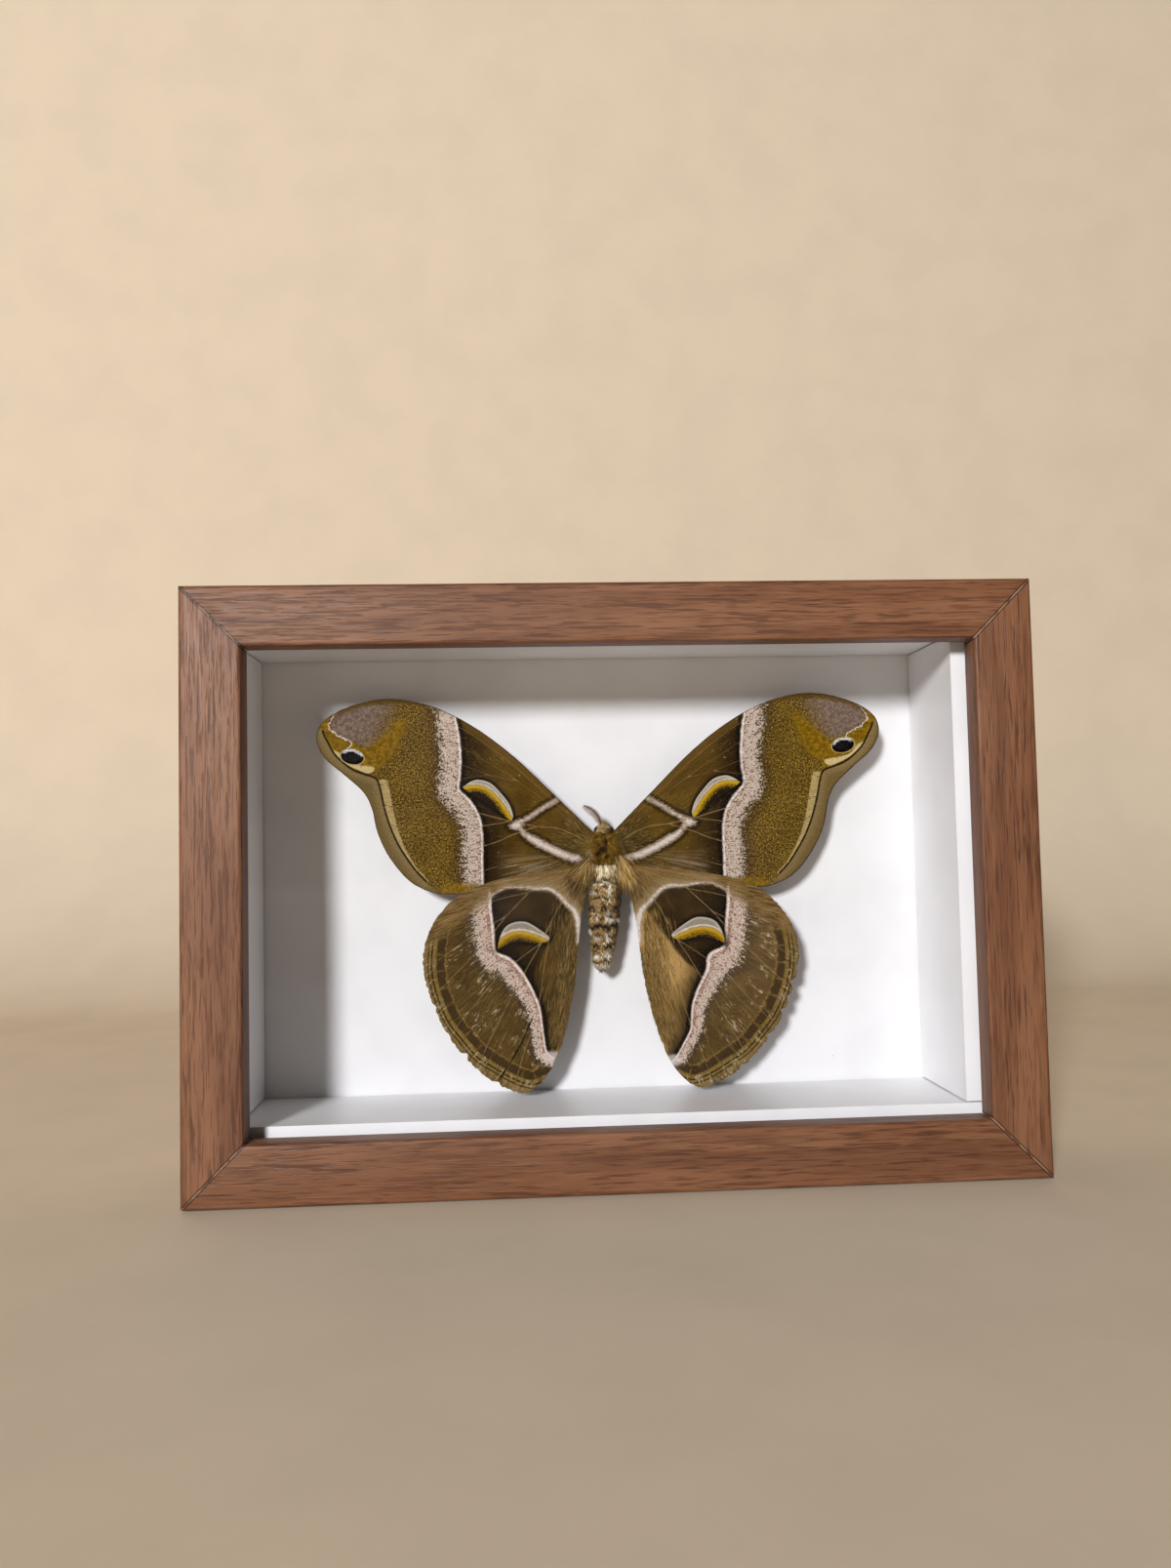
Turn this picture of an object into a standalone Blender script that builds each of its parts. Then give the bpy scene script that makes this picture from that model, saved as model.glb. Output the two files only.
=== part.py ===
"""A samia silk moth, spread and fixed in a glazed box frame of wood-look moulding.

Metres, +Z up. The case stands on its lower edge with its glass towards -Y, and the
origin is at the middle of the case's bottom. Sizes in the tables below are in
millimetres and are turned into metres where a mesh is made.
"""
import math

import bmesh
import bpy
from mathutils import Vector, geometry

MM = 0.001
GAP = 0.3

# Case
CASE_WIDTH = 170.0
CASE_HEIGHT = 120.0
CASE_DEPTH = 44.0
RAIL_FACE = 12.0
LIP_DEPTH = 5.5
RABBET = 4.8
EDGE_ROUND = 0.6
GLASS_THICK = 2.0
CARD_FRONT = 34.7
CARD_THICK = 2.3
BOARD_THICK = 3.0
LINER_LEFT = -76.24
LINER_RIGHT = 70.89
LINER_TOP = 50.12
LINER_BOTTOM = -46.44
TAB_SIZE = (5.0, 9.0, 0.8)
TAB_PLACE = 0.55
HANGER_SIZE = (34.0, 9.0, 0.8)
HANGER_DROP = 12.0
HANGER_END = 4.0
HANGER_TEETH = 9
TOOTH_ROOT = 2.0
TOOTH_DEPTH = 1.4

# Moth: x of the body's axis, height of the thorax, depth of the wings behind the front
AXIS_X = -1.05
THORAX_Z = 67.3
WING_DEPTH = 26.7
WING_THICK = 0.5
HIND_LIFT = 1.1
WING_GRID = 5.5
OUTLINE_STEP = 2.2
VEIN_STEP = 3.4
VEIN_HALF = 0.45
VEIN_HEIGHT = 0.25
VEIN_CLEAR = 1.4
GRID_CLEAR = 0.45
# The spread wings rise towards their tips, with a slight wave
TIP_RISE = 0.8
TIP_REACH = 60.0
WAVE_HEIGHT = 0.25
WAVE_TURNS = (0.16, 0.07)

# Outlines run from the front of the root round the tip to the back of the root.
# A point is (outwards from the body's axis, forwards from the thorax).
FORE_OUTLINE = [
    (0.5, 2.0), (2.4, 3.6), (10.9, 12.0), (19.7, 20.6), (28.4, 27.2), (37.2, 31.6), (46.7, 33.2),
    (55.2, 31.4), (60.5, 28.2), (61.8, 24.4), (60.0, 20.4), (55.9, 16.7), (52.0, 13.0), (50.2, 9.4),
    (49.0, 4.0), (46.6, -1.2), (42.4, -6.4), (37.6, -9.0), (32.8, -9.6), (26.0, -9.2), (14.0, -7.2),
    (0.5, -4.4),
]
HIND_OUTLINE = [
    (0.5, -2.3), (3.4, -2.6), (16.8, -4.6), (26.0, -6.9), (32.3, -10.1), (36.7, -14.6), (39.1, -19.6),
    (39.6, -25.0), (38.5, -30.3), (36.0, -37.0), (31.6, -43.7), (25.6, -49.4), (18.8, -52.4),
    (15.0, -50.6), (11.4, -45.6), (8.8, -37.8), (6.8, -28.0), (5.8, -19.5), (4.9, -13.0), (3.4, -8.0),
    (0.5, -5.6),
]
# The main veins, each from the root or from the vein that it leaves to near the margin
FORE_VEINS = [
    [(1.5, 1.6), (11.5, 11.0), (20.5, 19.2), (30.0, 26.2), (40.0, 31.0)],
    [(1.5, 1.0), (10.5, 8.6), (18.5, 14.8), (26.0, 19.6), (35.0, 25.0), (46.0, 30.0), (55.0, 29.8)],
    [(18.5, 14.8), (24.5, 16.2), (31.0, 18.6), (37.7, 20.5), (44.8, 22.8), (52.0, 25.6), (59.6, 26.6)],
    [(24.5, 16.2), (30.0, 15.6), (36.7, 14.9), (45.9, 14.8), (52.4, 14.9)],
    [(1.5, -0.2), (6.1, 2.6), (10.0, 4.3), (14.3, 4.8), (20.0, 6.0), (27.4, 8.0), (34.8, 9.4), (49.0, 8.4)],
    [(20.0, 6.0), (26.9, 5.0), (31.6, 3.8), (38.1, 3.3), (47.2, 1.5)],
    [(14.3, 4.8), (19.5, 3.2), (23.3, 1.6), (28.5, 0.1), (36.0, -2.2), (42.4, -4.9)],
    [(1.5, -1.4), (9.9, -1.6), (18.5, -2.7), (27.0, -4.9), (33.5, -8.2)],
]
HIND_VEINS = [
    [(1.5, -3.4), (10.0, -6.4), (16.3, -9.3), (22.0, -10.6), (28.0, -12.4), (35.8, -15.5)],
    [(21.4, -14.4), (28.0, -18.0), (33.0, -21.3), (38.4, -25.0)],
    [(16.3, -9.3), (21.4, -14.4), (25.0, -18.7), (28.5, -22.5), (33.5, -27.5), (37.0, -30.8)],
    [(1.5, -4.1), (7.8, -9.8), (11.6, -15.5), (13.9, -20.3), (16.5, -24.5), (19.8, -30.4),
     (23.0, -36.1), (27.2, -44.4)],
    [(13.9, -20.3), (19.9, -24.6), (23.9, -27.8), (28.8, -33.5), (33.0, -38.2)],
    [(11.6, -15.5), (13.2, -24.0), (14.7, -32.7), (16.5, -39.3), (18.1, -43.5), (20.1, -49.6)],
    [(1.5, -4.6), (4.6, -8.2), (6.6, -12.4), (8.0, -18.0), (8.7, -23.6), (9.4, -29.1), (10.6, -36.7),
     (12.3, -43.5)],
]
# How far the two hindwings stand off, and how much wider the right one is spread
HIND_SHIFT = {-1: 0.0, 1: 1.0}
HIND_STRETCH = {-1: 1.0, 1: 1.04}

# Body: centre (outwards, behind the wings, forwards) and half sizes in the same order.
# The sides are the corners round a piece and the rows along it.
BODY_SIDES = (24, 14)
THORAX_AT = (0.0, 1.6, -1.4)
THORAX_HALF = (3.6, 4.3, 4.9)
HEAD_AT = (0.2, 0.9, 3.7)
HEAD_HALF = (1.9, 2.0, 1.7)
HEAD_SIDES = (20, 12)
EYE_AT = (1.75, 1.3, 3.9)
EYE_RADIUS = 0.95
EYE_SIDES = (14, 9)
ABDOMEN_TOP = -4.6
ABDOMEN_TIP = -26.3
ABDOMEN_LEAN = -1.2
ABDOMEN_DEPTH = 1.2
ABDOMEN_SEGMENTS = 7
ABDOMEN_SIDES = 18
ABDOMEN_RADII = [2.5, 3.0, 3.1, 3.05, 2.85, 2.45, 1.9, 1.1]
# Each segment's rings: the share of its length and how much it swells there, then the blunt tip
SEGMENT_RINGS = [(0.04, 0.93), (0.3, 1.03), (0.8, 1.05), (0.98, 0.97)]
ABDOMEN_END = (1.02, 0.5)

# Antennae: the left one stands up beside the head, the right one is laid back under its wing
ANTENNA_ROUTE = {
    -1: [(0.3, 0.6, 4.4), (0.55, 0.2, 5.6), (1.1, -0.3, 6.9), (2.1, -0.8, 8.0), (3.2, -1.1, 8.7),
         (4.3, -1.2, 9.1)],
    1: [(0.9, 1.8, 4.0), (1.9, 3.0, 3.9), (4.0, 3.5, 3.2), (7.0, 3.6, 4.0), (9.6, 3.5, 5.6)],
}
ANTENNA_RADIUS = 0.3
ANTENNA_TAPER = 0.25
ANTENNA_STEP = 0.5
BRANCH_ROOM = (0.16, 0.96)
BRANCHES = 8
BRANCH_LENGTH = 2.1
BRANCH_THICK = 0.26
BRANCH_TAPER = (1.0, 0.8, 0.3)
BRANCH_AHEAD = 0.35
BRANCH_BEND = 0.55
BRANCH_CURL = 0.18
# The branches are longest in the antenna's middle: where on a half wave the first and last stand
BRANCH_WAVE = (0.25, 0.9)
BRANCH_BEHIND = {-1: 0.0, 1: 1.1}

# Locks of long hair: root, bends and tip (outwards, behind the wings, forwards)
FAN_ROOT = (0.9, -1.7, -3.2)
FAN_RISE = 0.35
FAN_TIPS = {
    -1: [(3.6, -2.35, -9.4), (5.0, -2.35, -10.2), (6.5, -2.35, -9.8), (7.9, -2.35, -8.8),
         (8.9, -2.35, -7.4)],
    1: [(3.8, -2.35, -9.8), (5.2, -2.35, -11.0), (6.5, -2.35, -11.3), (7.5, -2.35, -10.2),
        (8.0, -2.35, -8.4)],
}
COLLAR_ROOT = (-1.6, -2.9)
COLLAR_TIP = (-2.7, -7.4)
COLLAR_SPREAD = [-2.1, -1.4, -0.7, 0.0, 0.7, 1.4, 2.1]
# The collar's locks spread from root to tip, curve round the back and end at two lengths
COLLAR_OPEN = (0.7, 1.0, 1.1)
COLLAR_CURVE = 0.1
COLLAR_STAGGER = 0.6
# The fans' locks leave the thorax one above the other and arch before they reach their tips
FAN_PITCH = Vector((0.15, 0.0, 0.35))
FAN_ARCH = Vector((0.35, 0.0, 0.35))
FAN_BEND = 0.45
LOCK_THICK = 0.5
LOCK_WIDTH = 1.9
LOCK_TAPER = 0.88
COLLAR_STEP = 1.2
FAN_STEP = 1.8

# Legs: knee, ankle and toe of each, from the root under the thorax
LEG_ROUTES = {
    "fore": [(1.2, 3.8, 0.6), (4.4, 5.6, 2.6), (7.8, 6.4, 1.6), (10.4, 6.9, 0.8)],
    "mid": [(1.5, 3.8, -1.4), (5.0, 5.7, -1.2), (8.2, 6.5, -2.8), (10.4, 6.9, -4.2)],
    "hind": [(1.3, 3.6, -3.4), (4.3, 5.5, -4.6), (6.8, 6.3, -8.4), (8.0, 6.9, -12.2)],
}
LEG_RADII = [0.55, 0.5, 0.4, 0.25]
PAD_HALF = (1.1, 1.8)
PAD_SINK = 0.7

COLOURS = {
    "moulding": ((0.26, 0.11, 0.06), 0.45, 0.0),
    "glass": ((0.92, 0.95, 0.94), 0.02, 0.0),
    "white_card": ((0.86, 0.86, 0.85), 0.7, 0.0),
    "board": ((0.35, 0.22, 0.12), 0.8, 0.0),
    "steel": ((0.55, 0.55, 0.55), 0.3, 1.0),
    "wing": ((0.16, 0.11, 0.03), 0.8, 0.0),
    "fur": ((0.2, 0.14, 0.05), 0.9, 0.0),
    "abdomen": ((0.42, 0.3, 0.17), 0.9, 0.0),
    "eye": ((0.01, 0.01, 0.01), 0.2, 0.0),
    "antenna": ((0.22, 0.1, 0.05), 0.7, 0.0),
    "pad": ((0.8, 0.8, 0.78), 0.9, 0.0),
}


def clear_scene():
    """Remove whatever the file holds."""
    for item in list(bpy.data.objects):
        bpy.data.objects.remove(item, do_unlink=True)


def finish(name):
    """The named material, made once."""
    if name in bpy.data.materials:
        return bpy.data.materials[name]
    colour, roughness, metallic = COLOURS[name]
    material = bpy.data.materials.new(name)
    material.use_nodes = True
    shader = material.node_tree.nodes["Principled BSDF"]
    shader.inputs["Base Color"].default_value = (*colour, 1.0)
    shader.inputs["Roughness"].default_value = roughness
    shader.inputs["Metallic"].default_value = metallic
    return material


def add_node(name, points, faces, look, smooth=False):
    """One named solid from points in millimetres."""
    mesh = bpy.data.meshes.new(name)
    mesh.from_pydata([Vector(p) * MM for p in points], [], faces)
    mesh.validate()
    form = bmesh.new()
    form.from_mesh(mesh)
    bmesh.ops.recalc_face_normals(form, faces=form.faces)
    form.to_mesh(mesh)
    form.free()
    node = bpy.data.objects.new(name, mesh)
    bpy.context.scene.collection.objects.link(node)
    mesh.materials.append(finish(look))
    if smooth:
        mesh.shade_smooth()
    return node


def case_point(x, depth, z):
    """A point of the case: right of its middle, behind its front, above its middle."""
    return (x, depth - CASE_DEPTH / 2, z + CASE_HEIGHT / 2)


def moth_point(side, out, back, forward):
    """A point of the moth: outwards from its axis, behind the wings, forwards of the thorax."""
    return (AXIS_X + side * out, WING_DEPTH - CASE_DEPTH / 2 + back, THORAX_Z + forward)


def loft(rings):
    """Faces between rings of equal length, with a fan at each end."""
    count = len(rings[0])
    points = [p for ring in rings for p in ring]
    faces = []
    for row in range(len(rings) - 1):
        for i in range(count):
            j = (i + 1) % count
            faces.append((row * count + i, row * count + j, (row + 1) * count + j, (row + 1) * count + i))
    for row in (0, len(rings) - 1):
        centre = sum((Vector(p) for p in rings[row]), Vector()) / count
        points.append(tuple(centre))
        for i in range(count):
            faces.append((row * count + i, row * count + (i + 1) % count, len(points) - 1))
    return points, faces


def box(name, low, high, look):
    """A plain slab between two corners."""
    points = [(x, y, z) for x in (low[0], high[0]) for y in (low[1], high[1]) for z in (low[2], high[2])]
    faces = [(0, 1, 3, 2), (4, 6, 7, 5), (0, 4, 5, 1), (2, 3, 7, 6), (0, 2, 6, 4), (1, 5, 7, 3)]
    return add_node(name, points, faces, look)


def case_slab(name, left, right, front, back, bottom, top, look):
    """A slab of the case from its six faces."""
    return box(name, case_point(left, front, bottom), case_point(right, back, top), look)


def rail_profile():
    """The moulding's section: (inwards from the outer edge, behind the front face)."""
    turns = [math.radians(30 * step) for step in range(4)]
    arc = [(EDGE_ROUND * (1 - math.sin(turn)), EDGE_ROUND * (1 - math.cos(turn))) for turn in turns]
    outer = arc[::-1]
    inner = [(RAIL_FACE - inwards, depth) for inwards, depth in arc]
    wall = RAIL_FACE - RABBET
    return outer + inner + [(RAIL_FACE, LIP_DEPTH), (wall, LIP_DEPTH), (wall, CASE_DEPTH), (0.0, CASE_DEPTH)]


def make_rails():
    """The four mitred lengths of moulding."""
    profile = rail_profile()
    mitre = GAP / 2 * math.sqrt(2)
    half_w, half_h = CASE_WIDTH / 2, CASE_HEIGHT / 2
    sides = {
        "rail_top": (half_w, lambda s, a, d: case_point(s, d, half_h - a)),
        "rail_bottom": (half_w, lambda s, a, d: case_point(s, d, a - half_h)),
        "rail_left": (half_h, lambda s, a, d: case_point(a - half_w, d, s)),
        "rail_right": (half_h, lambda s, a, d: case_point(half_w - a, d, s)),
    }
    for name, (half, place) in sides.items():
        rings = [[place(end * (half - a - mitre), a, d) for a, d in profile] for end in (-1, 1)]
        count = len(profile)
        points = rings[0] + rings[1]
        faces = [(i, (i + 1) % count, count + (i + 1) % count, count + i) for i in range(count)]
        faces += [tuple(range(count)), tuple(range(2 * count - 1, count - 1, -1))]
        add_node(name, points, faces, "moulding")


def make_glazing():
    """The glass, the white liner, the white card and the board behind it."""
    half_w = CASE_WIDTH / 2 - (RAIL_FACE - RABBET) - GAP
    half_h = CASE_HEIGHT / 2 - (RAIL_FACE - RABBET) - GAP
    glass = LIP_DEPTH + GAP
    liner = glass + GLASS_THICK + GAP
    card = CARD_FRONT + CARD_THICK
    case_slab("glass_pane", -half_w, half_w, glass, glass + GLASS_THICK, -half_h, half_h, "glass")
    back = CARD_FRONT - GAP
    low, high = LINER_BOTTOM + GAP, LINER_TOP - GAP
    case_slab("liner_top", -half_w, half_w, liner, back, LINER_TOP, half_h, "white_card")
    case_slab("liner_bottom", -half_w, half_w, liner, back, -half_h, LINER_BOTTOM, "white_card")
    case_slab("liner_left", -half_w, LINER_LEFT, liner, back, low, high, "white_card")
    case_slab("liner_right", LINER_RIGHT, half_w, liner, back, low, high, "white_card")
    case_slab("backing_card", -half_w, half_w, CARD_FRONT, card, -half_h, half_h, "white_card")
    board = card + GAP
    case_slab("back_board", -half_w, half_w, board, board + BOARD_THICK, -half_h, half_h, "board")
    return half_w, half_h, board + BOARD_THICK + GAP


def make_back_fittings(half_w, half_h, depth):
    """Steel tabs that hold the board in, and the toothed hanger on it."""
    width, length, thick = TAB_SIZE
    places = []
    for x in (-half_w * TAB_PLACE, half_w * TAB_PLACE):
        places.append((x, half_h, 0, -1))
        places.append((x, -half_h, 0, 1))
    places.append((-half_w, 0.0, 1, 0))
    places.append((half_w, 0.0, -1, 0))
    for number, (x, z, right, up) in enumerate(places, 1):
        across = (abs(up) * width / 2, abs(right) * width / 2)
        xs = sorted((x - across[0] + min(right, 0) * length, x + across[0] + max(right, 0) * length))
        zs = sorted((z - across[1] + min(up, 0) * length, z + across[1] + max(up, 0) * length))
        case_slab(f"tab_{number}", xs[0], xs[1], depth, depth + thick, zs[0], zs[1], "steel")
    span, tall, plate = HANGER_SIZE
    top = half_h - HANGER_DROP
    foot = top - tall
    pitch = (span - 2 * HANGER_END) / HANGER_TEETH
    low_edge = []
    for tooth in range(HANGER_TEETH):
        start = -span / 2 + HANGER_END + tooth * pitch
        low_edge.append((start, foot + TOOTH_ROOT))
        low_edge.append((start + pitch / 2, foot + TOOTH_ROOT + TOOTH_DEPTH))
    outline = [(-span / 2, top), (-span / 2, foot), (-span / 2 + HANGER_END, foot)] + low_edge[1:]
    outline += [(span / 2 - HANGER_END, foot), (span / 2, foot), (span / 2, top)]
    count = len(outline)
    points = [case_point(x, depth, z) for x, z in outline]
    points += [case_point(x, depth + plate, z) for x, z in outline]
    faces = [(i, (i + 1) % count, count + (i + 1) % count, count + i) for i in range(count)]
    faces += [tuple(range(count)), tuple(range(2 * count - 1, count - 1, -1))]
    add_node("hanger", points, faces, "steel")


def curve_through(points, step):
    """Points about step apart on a smooth open curve through the given ones."""
    knots = [Vector(p) for p in points]
    knots = [knots[0] * 2 - knots[1]] + knots + [knots[-1] * 2 - knots[-2]]
    result = []
    for i in range(1, len(knots) - 2):
        before, start, end, after = knots[i - 1:i + 3]
        pieces = max(1, round((end - start).length / step))
        for k in range(pieces):
            t = k / pieces
            result.append(0.5 * (2 * start + (end - before) * t
                                 + (2 * before - 5 * start + 4 * end - after) * t ** 2
                                 + (3 * start - before - 3 * end + after) * t ** 3))
    result.append(knots[-2])
    return result


def camber(out, forward):
    """How far the spread wings lie behind their plane at a place, with their slight waves."""
    reach = math.hypot(out, forward) / TIP_REACH
    wave = math.sin(WAVE_TURNS[0] * out + WAVE_TURNS[1] * forward)
    return WAVE_HEIGHT * wave - TIP_RISE * reach ** 2


def distance_to(spot, line):
    """How far a point lies from a line of points in plan."""
    nearest = math.inf
    for start, end in zip(line, line[1:]):
        on_line, share = geometry.intersect_point_line(spot, start, end)
        foot = start.lerp(end, min(max(share, 0.0), 1.0))
        nearest = min(nearest, (spot - foot).length)
    return nearest


def wing_plan(outline, crests):
    """The wing's plan cut into triangles along its rim and its veins: points and faces."""
    rim = curve_through(outline, OUTLINE_STEP)
    closed_rim = rim + rim[:1]
    points = list(rim)
    edges = [(i, (i + 1) % len(rim)) for i in range(len(rim))]
    for number, crest in enumerate(crests):
        others = crests[:number] + crests[number + 1:]
        edges += [(len(points) + i, len(points) + i + 1) for i in range(len(crest) - 1)]
        points += crest
        for side in (-1, 1):
            last_kept = None
            for i, spot in enumerate(crest[:-1]):
                ahead = (crest[i + 1] - crest[max(i - 1, 0)]).normalized()
                foot = spot + side * VEIN_HALF * Vector((-ahead.y, ahead.x))
                clear = min(distance_to(foot, other) for other in others) > VEIN_HALF * VEIN_CLEAR
                if clear and distance_to(foot, closed_rim) > VEIN_HALF and inside(foot, rim):
                    points.append(foot)
                    if last_kept == i - 1:
                        edges.append((len(points) - 2, len(points) - 1))
                    last_kept = i
    low = Vector((min(p.x for p in rim), min(p.y for p in rim)))
    high = Vector((max(p.x for p in rim), max(p.y for p in rim)))
    taken = list(points)
    for row in range(int((high.y - low.y) / WING_GRID) + 1):
        for column in range(int((high.x - low.x) / WING_GRID) + 1):
            spot = low + Vector((column + 0.5 * (row % 2), row)) * WING_GRID
            if inside(spot, rim) and min((spot - p).length for p in taken) > WING_GRID * GRID_CLEAR:
                points.append(spot)
    verts, _, faces, _, _, _ = geometry.delaunay_2d_cdt(points, edges, [list(range(len(rim)))], 1, 0.1)
    return verts, faces


def inside(spot, rim):
    """Whether a point lies within a closed outline."""
    crossings = 0
    for start, end in zip(rim, rim[1:] + rim[:1]):
        if (start.y > spot.y) != (end.y > spot.y):
            cross = start.x + (spot.y - start.y) / (end.y - start.y) * (end.x - start.x)
            crossings += cross > spot.x
    return crossings % 2 == 1


def make_wing(name, side, outline, veins, lift, shift, stretch):
    """A wing: its plan as two faces alike, the front one raised along the veins."""
    crests = [curve_through(vein, VEIN_STEP) for vein in veins]
    verts, faces = wing_plan(outline, crests)
    count = len(verts)
    points = []
    for back in (0.0, WING_THICK):
        for p in verts:
            nearest = min(distance_to(p, crest) for crest in crests)
            ridge = VEIN_HEIGHT * max(0.0, 1.0 - nearest / VEIN_HALF) if back == 0.0 else 0.0
            out = p.x * stretch + shift
            points.append(moth_point(side, out, camber(out, p.y) - lift + back - ridge, p.y))
    edges = {}
    for face in faces:
        for start, end in zip(face, face[1:] + face[:1]):
            edges[(start, end)] = True
    solid = [tuple(f) for f in faces] + [tuple(i + count for i in reversed(f)) for f in faces]
    for start, end in edges:
        if (end, start) not in edges:
            solid.append((end, start, start + count))
            solid.append((end, start + count, end + count))
    return add_node(name, points, solid, "wing")


def ellipsoid(name, at, half, look, grow=0.0, side=1, sides=BODY_SIDES[0], rows=BODY_SIDES[1]):
    """A rounded body, its poles fore and aft, grown by a margin where asked."""
    middle = Vector(moth_point(side, *at))
    rings = []
    for row in range(1, rows):
        polar = math.pi * row / rows
        ring = []
        for i in range(sides):
            turn = 2 * math.pi * i / sides
            ring.append((middle.x + (half[0] + grow) * math.sin(polar) * math.cos(turn),
                         middle.y + (half[1] + grow) * math.sin(polar) * math.sin(turn),
                         middle.z + (half[2] + grow) * math.cos(polar)))
        rings.append(ring)
    points, faces = loft(rings)
    points[-2] = (middle.x, middle.y, middle.z + half[2] + grow)
    points[-1] = (middle.x, middle.y, middle.z - half[2] - grow)
    return add_node(name, points, faces, look, smooth=True)


def tube(name, route, radii, side, look, sides=8):
    """A tapering tube through a route of moth points."""
    path = [Vector(moth_point(side, *p)) for p in route]
    rings = []
    across = None
    for i, spot in enumerate(path):
        ahead = (path[min(i + 1, len(path) - 1)] - path[max(i - 1, 0)]).normalized()
        if across is None:
            across = ahead.orthogonal().normalized()
        across = (across - ahead * across.dot(ahead)).normalized()
        other = ahead.cross(across)
        ring = []
        for k in range(sides):
            turn = 2 * math.pi * k / sides
            ring.append(tuple(spot + radii[i] * (math.cos(turn) * across + math.sin(turn) * other)))
        rings.append(ring)
    points, faces = loft(rings)
    return add_node(name, points, faces, look, smooth=True)


def make_abdomen(name, grow=0.0):
    """The abdomen, a row of rings that narrows to the tip and leans a little."""
    rings = []
    length = ABDOMEN_TOP - ABDOMEN_TIP
    for segment in range(ABDOMEN_SEGMENTS):
        first, last = ABDOMEN_RADII[segment], ABDOMEN_RADII[segment + 1]
        for part, swell in SEGMENT_RINGS:
            along = (segment + part) / ABDOMEN_SEGMENTS
            radius = (first + (last - first) * part) * swell
            rings.append(abdomen_ring(along, radius + grow, length))
    rings.append(abdomen_ring(ABDOMEN_END[0], ABDOMEN_RADII[-1] * ABDOMEN_END[1] + grow, length))
    points, faces = loft(rings)
    return add_node(name, points, faces, "abdomen", smooth=True)


def abdomen_ring(along, radius, length):
    """One ring of the abdomen, a share of its length from the thorax."""
    ring = []
    for i in range(ABDOMEN_SIDES):
        turn = 2 * math.pi * i / ABDOMEN_SIDES
        ring.append(moth_point(1, ABDOMEN_LEAN * along + radius * math.cos(turn),
                               ABDOMEN_DEPTH + radius * math.sin(turn), ABDOMEN_TOP - length * along))
    return ring


def apply_modifiers(node):
    """Turn an object's evaluated form into its own mesh."""
    scene_state = bpy.context.evaluated_depsgraph_get()
    mesh = bpy.data.meshes.new_from_object(node.evaluated_get(scene_state))
    node.modifiers.clear()
    node.data = mesh


def keep_largest(node):
    """Leave only the closed surface that holds the most."""
    form = bmesh.new()
    form.from_mesh(node.data)
    left = set(form.faces)
    shells = []
    while left:
        front = [left.pop()]
        shell = list(front)
        while front:
            for edge in front.pop().edges:
                for face in edge.link_faces:
                    if face in left:
                        left.remove(face)
                        front.append(face)
                        shell.append(face)
        volume = sum(f.calc_center_median().dot(f.normal) * f.calc_area() for f in shell)
        shells.append((volume, shell))
    shells.sort(key=lambda entry: entry[0])
    for _, shell in shells[:-1]:
        bmesh.ops.delete(form, geom=shell, context="FACES")
    form.to_mesh(node.data)
    form.free()


def cut(node, *cutters):
    """Take the cutters' shapes out of a node."""
    for cutter in cutters:
        step = node.modifiers.new("cut", "BOOLEAN")
        step.operation = "DIFFERENCE"
        step.object = cutter
        step.solver = "EXACT"
    apply_modifiers(node)
    keep_largest(node)


def fuse(node, pieces):
    """Join closed pieces to the node that they grow from, by one union."""
    group = bpy.data.collections.new(node.name + "_pieces")
    for piece in pieces:
        group.objects.link(piece)
    step = node.modifiers.new("fuse", "BOOLEAN")
    step.operation = "UNION"
    step.operand_type = "COLLECTION"
    step.collection = group
    step.solver = "EXACT"
    apply_modifiers(node)
    for piece in pieces:
        bpy.data.objects.remove(piece, do_unlink=True)
    bpy.data.collections.remove(group)
    keep_largest(node)


def lock(name, side, route, width, thick, look, flat=Vector((0.0, 1.0, 0.0))):
    """A flat tapered lock along a route of moth points, its broad face towards flat."""
    path = [Vector(moth_point(side, *p)) for p in route]
    rings = []
    for i, spot in enumerate(path):
        ahead = (path[min(i + 1, len(path) - 1)] - path[max(i - 1, 0)]).normalized()
        across = ahead.cross(flat).normalized()
        up = across.cross(ahead)
        taper = 1.0 - LOCK_TAPER * (i / (len(path) - 1)) ** 2
        half = Vector((width * taper / 2, thick * taper / 2))
        rings.append([tuple(spot + across * half.x), tuple(spot + up * half.y),
                      tuple(spot - across * half.x), tuple(spot - up * half.y)])
    points, faces = loft(rings)
    return add_node(name, points, faces, look)


def body_locks():
    """The collar over the abdomen and the fans of hair at the hindwings' roots."""
    pieces = []
    for number, spread in enumerate(COLLAR_SPREAD):
        at_root, half_way, at_tip = (spread * share for share in COLLAR_OPEN)
        fall = COLLAR_CURVE * spread ** 2
        root = (at_root, COLLAR_ROOT[0] + 3 * COLLAR_CURVE * abs(spread), COLLAR_ROOT[1])
        middle = (half_way, COLLAR_TIP[0] + fall, (COLLAR_ROOT[1] + COLLAR_TIP[1]) / 2)
        tip = (at_tip, COLLAR_TIP[0] + 2 * fall, COLLAR_TIP[1] + COLLAR_STAGGER * (number % 2))
        pieces.append(lock(f"collar_{number}", 1, curve_through([root, middle, tip], COLLAR_STEP),
                           LOCK_WIDTH, LOCK_THICK, "fur"))
    for side, tips in FAN_TIPS.items():
        for number, tip in enumerate(tips):
            root = Vector(FAN_ROOT) + FAN_PITCH * (number - len(tips) // 2)
            middle = root.lerp(Vector(tip), FAN_BEND) + FAN_ARCH
            middle.y = tip[1] - FAN_RISE
            pieces.append(lock(f"fan_{side}_{number}", side, curve_through([root, middle, tip], FAN_STEP),
                               LOCK_WIDTH, LOCK_THICK, "fur"))
    return pieces


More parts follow.
